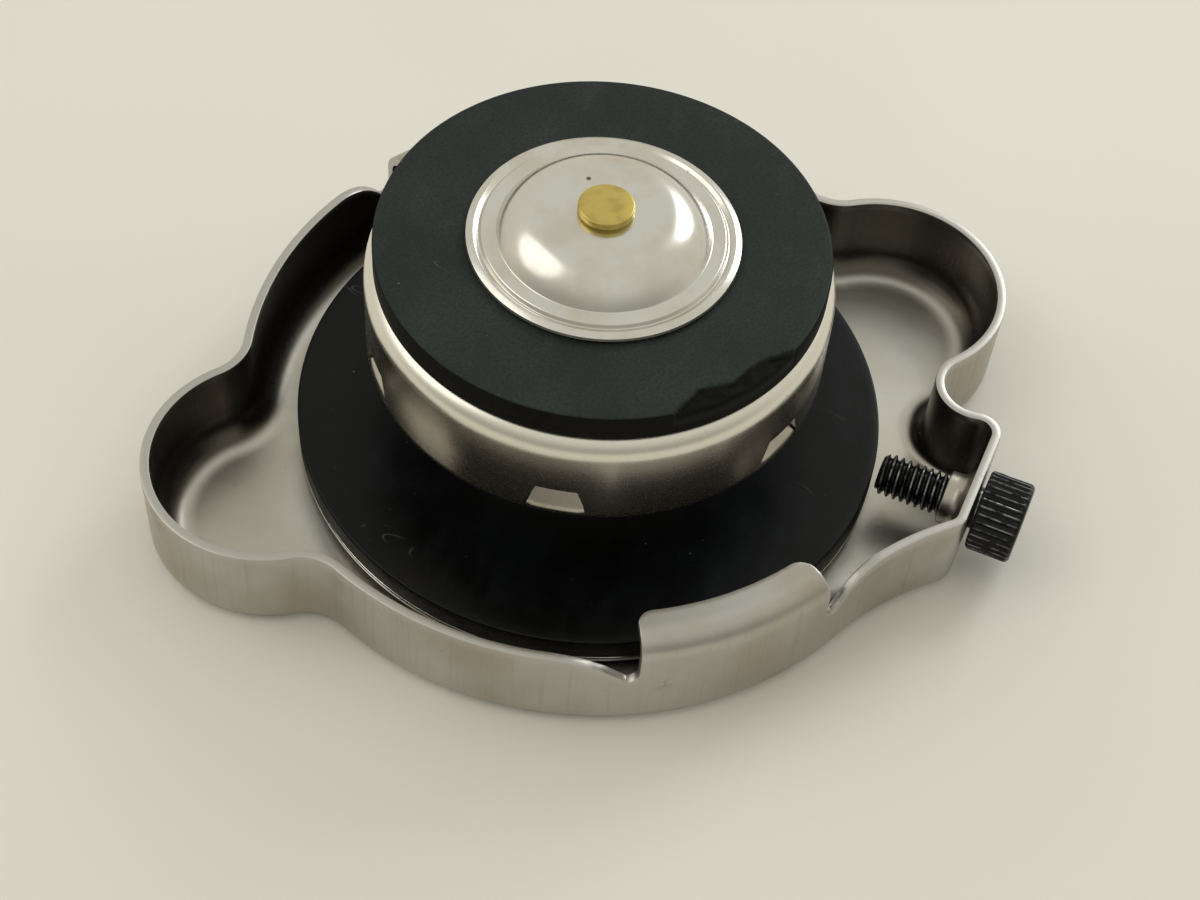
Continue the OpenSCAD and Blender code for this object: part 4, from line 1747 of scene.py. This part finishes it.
    def build_gasket(self, finish: Finish) -> bpy.types.Object:
        """Builds and dresses the gasket, with the worn stretch of its edge.

        Args:
            finish: what it is dressed with.

        Returns:
            The piece.
        """
        low, e = self.cup_z + self.cup_h, self.gasket_edge_r
        high, inner, outer = low + self.gasket_t, self.web_r + self.slip, self.gasket_r
        draft = Draft()
        path = rounded([(inner, low, 0.1), (outer, low, e), (outer, high, e), (inner, high, 0.15)], True)
        start = max(k for k, p in enumerate(path) if p[0] > outer - 1.0)
        path[start + 1 : start + 1] = [(outer - e - 0.12 * k * (1 + 0.05 * k), high) for k in range(1, 15)]
        draft.lathe(path, 360, True)
        for number, (x, y, z) in enumerate(draft.points):
            r, angle = math.hypot(x, y), math.atan2(y, x)
            share = self.wear(r, angle)
            if share > 0 and z > high - self.worn_lip and r > outer - 2.5:
                lip = share * (0.35 + 0.65 * min(1.0, max(0.0, r - outer + self.worn_lip) / self.worn_lip))
                dig = 1 + 0.35 * noise.noise(Vector((x * 1.3, y * 1.3, 1.0)))
                shrink = 1 - 0.006 * share
                draft.points[number] = (x * shrink, y * shrink, z - self.worn_depth * lip * dig)
                draft.marks.setdefault("worn", {})[number] = share
        thing = piece("pressure_gasket_ring", draft.mesh("pressure_gasket_ring"))
        return Place("pressure_gasket", Body.PRESSURE, "gasket_rubber").install(thing, finish)


@dataclass
class VacuumValve:
    """Domed disc that lies on the gasket, and the brass stem riveted through it."""

    disc_z: float = 26.8
    disc_r: float = 12.05
    disc_t: float = 0.5
    dome_z: float = 30.15
    dome_flat_r: float = 5.3
    dome_side_r: float = 9.3
    dome_steep: float = 57.0
    disc_seat_r: float = 10.8
    lip_rise: float = 0.35
    lip_edge: float = 0.1
    groove_depth: float = 0.38
    dome_steps: int = 18
    stem_r: float = 1.4
    stem_head_r: float = 2.47
    stem_head_h: float = 0.9
    stem_tail_r: float = 2.2
    stem_tail_h: float = 0.7
    tail_z: float = 16.6

    def build_disc(self, finish: Finish) -> bpy.types.Object:
        """Builds and dresses the disc: flat top, round shoulder, a band, a groove and the lip.

        Args:
            finish: what it is dressed with.

        Returns:
            The piece.
        """
        band = self.disc_z + self.disc_t + self.lip_rise - 0.03
        groove = band - self.groove_depth
        run, steep = self.dome_side_r - self.dome_flat_r, math.radians(self.dome_steep)
        top = [(self.stem_r, self.dome_z), (self.stem_head_r + 0.3, self.dome_z)]
        # The slope grows evenly with the radius, from level to steep
        for k in range(self.dome_steps + 1):
            share = k / self.dome_steps
            fall = run / steep * math.log(math.cos(steep * share))
            top.append((self.dome_flat_r + run * share, self.dome_z + fall))
        foot = (self.dome_side_r + (top[-1][1] - band) / math.tan(steep), band)
        corners = [
            (*top[-1], 0), (*foot, 0.18), (self.disc_seat_r - 0.2, band + 0.02, 0.2),
            (self.disc_seat_r + 0.07, groove, 0.12), (self.disc_seat_r + 0.55, band - 0.06, 0.3),
            (self.disc_r, band - 0.3, 0),
        ]
        top += rounded(corners, steps=7)[1:]
        below = thickened(top, self.disc_t)
        edge = self.disc_r - self.lip_edge
        lip = [(edge, top[-1][1] - 0.02), (self.disc_r - 0.02, (top[-1][1] + below[0][1]) / 2)]
        path = top[:-1] + lip + [(min(r, edge), z) for r, z in below]
        thing = turned("vacuum_disc_sheet", path, 160, True)
        return Place("vacuum_disc", Body.VACUUM, "disc_steel").install(thing, finish)

    def build_stem(self, finish: Finish) -> bpy.types.Object:
        """Builds and dresses the stem: a low turned head, the shank and the riveted tail.

        Args:
            finish: what it is dressed with.

        Returns:
            The piece.
        """
        low, high, shank, head = self.tail_z, self.dome_z, self.stem_r, self.stem_head_r
        top, tail = high + self.stem_head_h, low + self.stem_tail_h
        corners = [
            (0, top, 0), (1.5, top - 0.015, 2.0), (head - 0.02, top - 0.07, 0.14),
            (head, high + 0.25, 0.2), (head - 0.16, high, 0.05), (shank, high, 0), (shank, tail, 0),
            (self.stem_tail_r, tail, 0.05), (shank, low, 0.2), (0, low, 0),
        ]
        thing = turned("vacuum_stem_pin", rounded(corners), 96)
        return Place("vacuum_stem", Body.VACUUM, "stem_brass").install(thing, finish)


@dataclass
class LockScrew:
    """Socket head screw with a knurled head, through the boss."""

    frame: Matrix
    head_z: float = 37.5
    screw_r: float = 2.0
    screw_l: float = 9.6
    head_r: float = 3.8
    head_h: float = 4.2
    head_edge_r: float = 0.5
    head_chamfer: float = 0.25
    rim_r: float = 2.2
    socket_af: float = 3.0
    socket_depth: float = 2.0
    socket_bevel: float = 0.14
    socket_bevel_h: float = 0.12
    drill_point: float = 0.45
    point_chamfer: float = 0.5
    thread_pitch: float = 0.7
    thread_depth: float = 0.42
    thread_runout: float = 0.9
    thread_sides: int = 72
    thread_rows: int = 200
    ridges: int = 32
    ridge_depth: float = 0.24
    ridge_start: float = 0.35
    ridge_end: float = 0.75
    ridge_rim: float = 0.6
    segments: int = 384

    def hexagon(self, angle: float, grow: float) -> float:
        """Distance from the axis to the socket's side at an angle, with the side moved out by grow."""
        off = (angle + math.pi / 6) % (math.pi / 3) - math.pi / 6
        return (self.socket_af / 2 + grow) / math.cos(off)

    def head(self) -> Draft:
        """The head with its socket, still without ridges.

        Returns:
            The draft.
        """
        draft = Draft()
        low, high, bevel = self.head_z, self.head_z + self.head_h, self.head_chamfer
        corners = [
            (0, low, 0), (self.head_r - bevel, low, 0.05), (self.head_r, low + bevel, 0.05),
            (self.head_r, high, self.head_edge_r), (self.rim_r, high, 0),
        ]
        side = rounded(corners)
        straight = [(self.head_r, low + 0.4 + (self.head_h - 1.1) * k / 10) for k in range(11)]
        split = next(k for k, p in enumerate(side) if p[1] > low + 0.5)
        rows = draft.lathe(side[:split] + straight + side[split:], self.segments)
        floor = high - self.socket_depth
        mouth = ((self.socket_bevel, high), (0.0, high - self.socket_bevel_h))
        for grow, z in (*mouth, (0.0, floor), (-0.12, floor - 0.05)):
            ring = []
            for k in range(self.segments):
                angle = math.tau * k / self.segments
                r = self.hexagon(angle, grow)
                ring.append(draft.point(r * math.cos(angle), r * math.sin(angle), z))
            draft.strip(rows[-1], ring, True)
            rows.append(ring)
        draft.strip(rows[-1], [draft.point(0, 0, floor - self.drill_point)], True)
        return draft

    def knurl_rule(self, finish: bpy.types.Material) -> Rule:
        """Geometry tree that presses straight ridges into the head's side.

        Args:
            finish: the material that it ends with.

        Returns:
            The tree.
        """
        rule = Rule(
            "knurl", Ridges=float(self.ridges), Depth=self.ridge_depth * MM, Low=self.head_z * MM,
            High=(self.head_z + self.head_h) * MM, Radius=self.head_r * MM,
        )
        x, y, z = rule.split(rule.node("GeometryNodeInputPosition"))
        angle = x.maths("ARCTAN2", y, x)
        radius = (x * x + y * y) ** 0.5
        wave = (angle * rule.size("Ridges")).maths("COSINE", angle * rule.size("Ridges"))
        valley = ((1.0 - wave) * 0.5) ** 0.7
        above, below = z - rule.size("Low"), rule.size("High") - z
        ends = (above / (self.ridge_start * MM)).least(below / (self.ridge_end * MM)).step(0.1, 1.0)
        rim = ((radius - rule.size("Radius")) / (self.ridge_rim * MM)).step(-1.0, -0.2)
        shrink = 1.0 - valley * ends * rim * rule.size("Depth") / radius.most(0.1 * MM)
        rubbed = rule.marked(rule.given, "rubbed", wave.step(0.8, 0.99) * ends * rim)
        rule.end(rule.moved(rubbed, rule.join(x * shrink, y * shrink, z)), finish)
        return rule

    def thread_rule(self, finish: bpy.types.Material) -> Rule:
        """Geometry tree that winds the thread: a fine cylinder whose radius follows the helix.

        Args:
            finish: the material that it ends with.

        Returns:
            The tree.
        """
        rule = Rule(
            "thread", Radius=self.screw_r * MM, Depth=self.thread_depth * MM, Pitch=self.thread_pitch * MM,
            Length=self.screw_l * MM, Chamfer=self.point_chamfer * MM,
        )
        steps = {"Vertices": self.thread_sides, "Side Segments": self.thread_rows, "Fill Segments": 3}
        sockets = steps | {"Radius": rule.size("Radius"), "Depth": rule.size("Length")}
        bar = rule.node("GeometryNodeMeshCylinder", None, sockets, "Mesh")
        x, y, z = rule.split(rule.node("GeometryNodeInputPosition"))
        angle = x.maths("ARCTAN2", y, x)
        radius = (x * x + y * y) ** 0.5
        from_point = z + rule.size("Length") * 0.5
        turn = from_point / rule.size("Pitch") - angle / math.tau
        crest = (turn.maths("FRACT", turn) * 2.0 - 1.0).size()
        height = crest.step(0.12, 0.9)
        runout = ((rule.size("Length") - from_point) / (self.thread_runout * MM)).step(0.4, 1.0)
        r = rule.size("Radius") - rule.size("Depth") * (1.0 - height) * runout
        r = r.least(rule.size("Radius") - rule.size("Chamfer") + from_point)
        shrink = r / rule.size("Radius")
        rubbed = rule.marked(bar, "rubbed", height.step(0.9, 1.0) * (radius / rule.size("Radius")))
        rule.end(rule.moved(rubbed, rule.join(x * shrink, y * shrink, z)), finish)
        return rule

    def build(self, finish: Finish) -> bpy.types.Object:
        """Builds and dresses the screw.

        Args:
            finish: what it is dressed with.

        Returns:
            The piece.
        """
        coat = finish.material()
        thing = piece("lock_screw_bolt", self.head().mesh("lock_screw_bolt"))
        self.knurl_rule(coat).run(thing)
        shank = piece("lock_screw_thread", bpy.data.meshes.new("lock_screw_thread"))
        self.thread_rule(coat).run(shank)
        shank.data.transform(Matrix.Translation((0, 0, (self.head_z - self.screw_l / 2) * MM)))
        absorb(thing, shank)
        place = self.frame.copy()
        place.translation *= MM
        thing.data.transform(place)
        return Place("lock_screw", Body.SCREW, "black_oxide").install(thing, finish)


@dataclass(frozen=True)
class SpringPlace:
    """A spring's node, the bodies that its ends stand on and its slot."""

    node: str
    lower: Body
    upper: Body
    slot: str


@dataclass
class InnerParts:
    """Springs and washer inside the valve, which keep the frame's own shapes."""

    nodes: dict[str, bpy.types.Object]

    def build_spring(self, name: str, place: SpringPlace, finish: Finish) -> bpy.types.Object:
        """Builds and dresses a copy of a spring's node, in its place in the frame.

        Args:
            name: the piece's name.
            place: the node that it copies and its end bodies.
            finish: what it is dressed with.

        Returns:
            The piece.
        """
        node = self.nodes[place.node]
        mesh = node.data.copy()
        mesh.transform(node.matrix_world)
        with editing(mesh) as work:
            bmesh.ops.remove_doubles(work, verts=work.verts, dist=WELD * MM)
        face_out(mesh)
        thing = piece(name, mesh)
        dress(thing, finish)
        low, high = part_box(place.node)
        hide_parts(place.node)
        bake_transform(thing)
        LOG.info("%s: shortens between %s and %s", name, place.lower.value, place.upper.value)
        return thing

    def dress_washer(self, finish: Finish) -> None:
        """Gives the washer its finish."""
        dress(self.nodes["stem_washer"], finish)
        LOG.info("stem_washer: dressed as %s", finish.name)


@dataclass(frozen=True)
class Lamp:
    """A round soft lamp: its place and width in millimetres, its power in watts and its colour."""

    name: str
    place: Point3
    width: float
    power: float
    colour: Point3


@dataclass
class Studio:
    """Pale table, soft light and the camera at the photograph's angle."""

    camera_at: Point3 = (-55.0, -113.0, 159.3)
    look_x: float = 0.4476
    look_y: float = 0.8942
    pitch: float = 52.26
    roll: float = 5.4
    lens: float = 63.0
    sky: Point3 = (1.0, 0.99, 0.89)
    horizon: Point3 = (1.0, 0.955, 0.82)
    sky_level: float = 0.70
    front_dim: float = 0.48
    table_half: float = 2500.0
    table_drop: float = 0.03
    lamps_aim: Point3 = (0.0, 0.0, 10.0)
    lamps: tuple[Lamp, ...] = (
        Lamp("window", (620, 330, 430), 380, 1.5, (0.94, 0.97, 1.0)),
        Lamp("ceiling", (-620, 300, 700), 800, 1.5, (1.0, 0.97, 0.90)),
    )

    def build_table(self, finish: Finish) -> bpy.types.Object:
        """Lays the table just under the cap.

        Args:
            finish: what it is dressed with.

        Returns:
            The table.
        """
        draft = Draft()
        half = self.table_half
        corners = ((-half, -half), (half, -half), (half, half), (-half, half))
        draft.faces.append(tuple(draft.point(x, y, -self.table_drop) for x, y in corners))
        table = piece("tabletop", draft.mesh("tabletop"))
        dress(table, finish)
        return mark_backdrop(table)

    def build_camera(self) -> bpy.types.Object:
        """Sets the camera up from its place, direction, pitch and roll.

        Returns:
            The camera.
        """
        pitch, roll = math.radians(self.pitch), math.radians(self.roll)
        forward = math.cos(pitch)
        ahead = Vector((self.look_x * forward, self.look_y * forward, -math.sin(pitch))).normalized()
        level = Vector((self.look_y, -self.look_x, 0)).normalized()
        rise = level.cross(ahead)
        right = math.cos(roll) * level + math.sin(roll) * rise
        up = math.cos(roll) * rise - math.sin(roll) * level
        camera = bpy.data.objects.new("camera", bpy.data.cameras.new("camera"))
        camera.data.lens = self.lens
        camera.data.clip_start, camera.data.clip_end = 0.01, 20
        bpy.context.scene.collection.objects.link(camera)
        facing = Matrix((right, up, -ahead)).transposed().to_4x4()
        camera.matrix_world = Matrix.Translation(Vector(self.camera_at) * MM) @ facing
        bpy.context.scene.camera = camera
        return camera

    def build_lamp(self, lamp: Lamp) -> bpy.types.Object:
        """Hangs a lamp so that it faces the cap.

        Args:
            lamp: what is hung.

        Returns:
            The lamp's object.
        """
        light = bpy.data.lights.new(lamp.name, "AREA")
        light.shape, light.size = "DISK", lamp.width * MM
        light.energy, light.color = lamp.power, lamp.colour
        thing = bpy.data.objects.new(lamp.name, light)
        thing.location = Vector(lamp.place) * MM
        aim = Vector(self.lamps_aim) - Vector(lamp.place)
        thing.rotation_euler = aim.to_track_quat("-Z", "Y").to_euler()
        bpy.context.scene.collection.objects.link(thing)
        return thing

    def build_sky(self) -> None:
        """Fills the world with a soft light, brighter overhead and dimmer on the viewer's side."""
        world = bpy.data.worlds.new("studio")
        bpy.context.scene.world = world
        world.use_nodes = True
        tree = Tree(world.node_tree)
        x, y, height = tree.split(tree.node("ShaderNodeTexCoord", out="Generated"))
        colour = tree.mix(height.step(0.0, 0.85), self.horizon, self.sky)
        front = (x * self.look_x + y * self.look_y).step(0.25, -0.75) * height.step(0.85, 0.25)
        level = self.sky_level * (1.0 - front * self.front_dim)
        light = tree.node("ShaderNodeBackground", None, {"Color": colour, "Strength": level})
        tree.node("ShaderNodeOutputWorld", None, {"Surface": light})

    def build(self, finish: Finish) -> None:
        """Builds the whole studio.

        Args:
            finish: what the table is dressed with.
        """
        bpy.context.scene.view_settings.view_transform = "Standard"
        self.build_camera()
        self.build_table(finish)
        self.build_sky()
        for lamp in self.lamps:
            self.build_lamp(lamp)
        LOG.info("studio: %d lamps", len(self.lamps))


def main() -> None:
    """Builds every piece in order."""
    logging.basicConfig(level=logging.INFO, format="%(name)s: %(message)s")
    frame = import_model()
    Studio().build(Tabletop("table_paint", (0.85, 0.83, 0.775), 0.7))
    shell = Shell()
    shell.build(DrawnSteel("satin_sheet_steel", (0.52, 0.51, 0.48), 0.34))
    swivel = Swivel()
    swivel.build_plate(SpunSteel("bright_plate_steel", (0.80, 0.79, 0.76), 0.16, pitting=0.04))
    seal_rubber = Rubber(
        "black_seal_rubber", (0.0015, 0.0016, 0.0017), 0.34, bloom=(0.005, 0.0075, 0.0085), dusty=0.04,
        grain=0.25, sheen=0.17, side_r=swivel.seal_r,
    )
    swivel.build_seal(seal_rubber)
    swivel.build_bell(SpunSteel("bell_sheet_steel", (0.50, 0.49, 0.46), 0.36))
    swivel.build_rivet(WireSteel("rivet_steel", (0.46, 0.45, 0.43), 0.36))
    pressure = PressureValve()
    # The cup's shoulder, above 21.7 mm, gets a painted highlight
    cup_steel = SpunSteel(
        "cup_sheet_steel", (0.52, 0.49, 0.43), 0.25, lines=0.3, pitting=0.03, warm=(0.40, 0.37, 0.31),
        highlight_z=21.7,
    )
    pressure.build_cup(cup_steel)
    gasket_rubber = Rubber(
        "matt_gasket_rubber", (0.020, 0.026, 0.0245), 0.55, bloom=(0.036, 0.045, 0.045),
        side_r=pressure.gasket_r,
    )
    pressure.build_gasket(gasket_rubber)
    vacuum = VacuumValve()
    vacuum.build_disc(PolishedSteel("polished_disc_steel", (0.72, 0.71, 0.67), 0.21))
    vacuum.build_stem(TurnedBrass("turned_brass", (0.64, 0.50, 0.15), 0.3))
    screw = LockScrew(shell.screw_frame())
    screw.build(BlackOxide("black_oxide_film", (0.002, 0.002, 0.0022), 0.24))
    inner = InnerParts(frame["nodes"])
    place = SpringPlace("pressure_spring", Body.VALVE, Body.PRESSURE, "spring_steel")
    wire = WireSteel("spring_wire_steel", (0.36, 0.35, 0.33), 0.32)
    inner.build_spring("pressure_spring_coil", place, wire)
    place = SpringPlace("vacuum_spring", Body.VACUUM, Body.PRESSURE, "vacuum_spring_steel")
    wire = WireSteel("fine_spring_steel", (0.42, 0.41, 0.39), 0.3)
    inner.build_spring("vacuum_spring_coil", place, wire)
    inner.dress_washer(WireSteel("washer_steel", (0.50, 0.49, 0.46), 0.34))


if __name__ == "__main__":
    main()
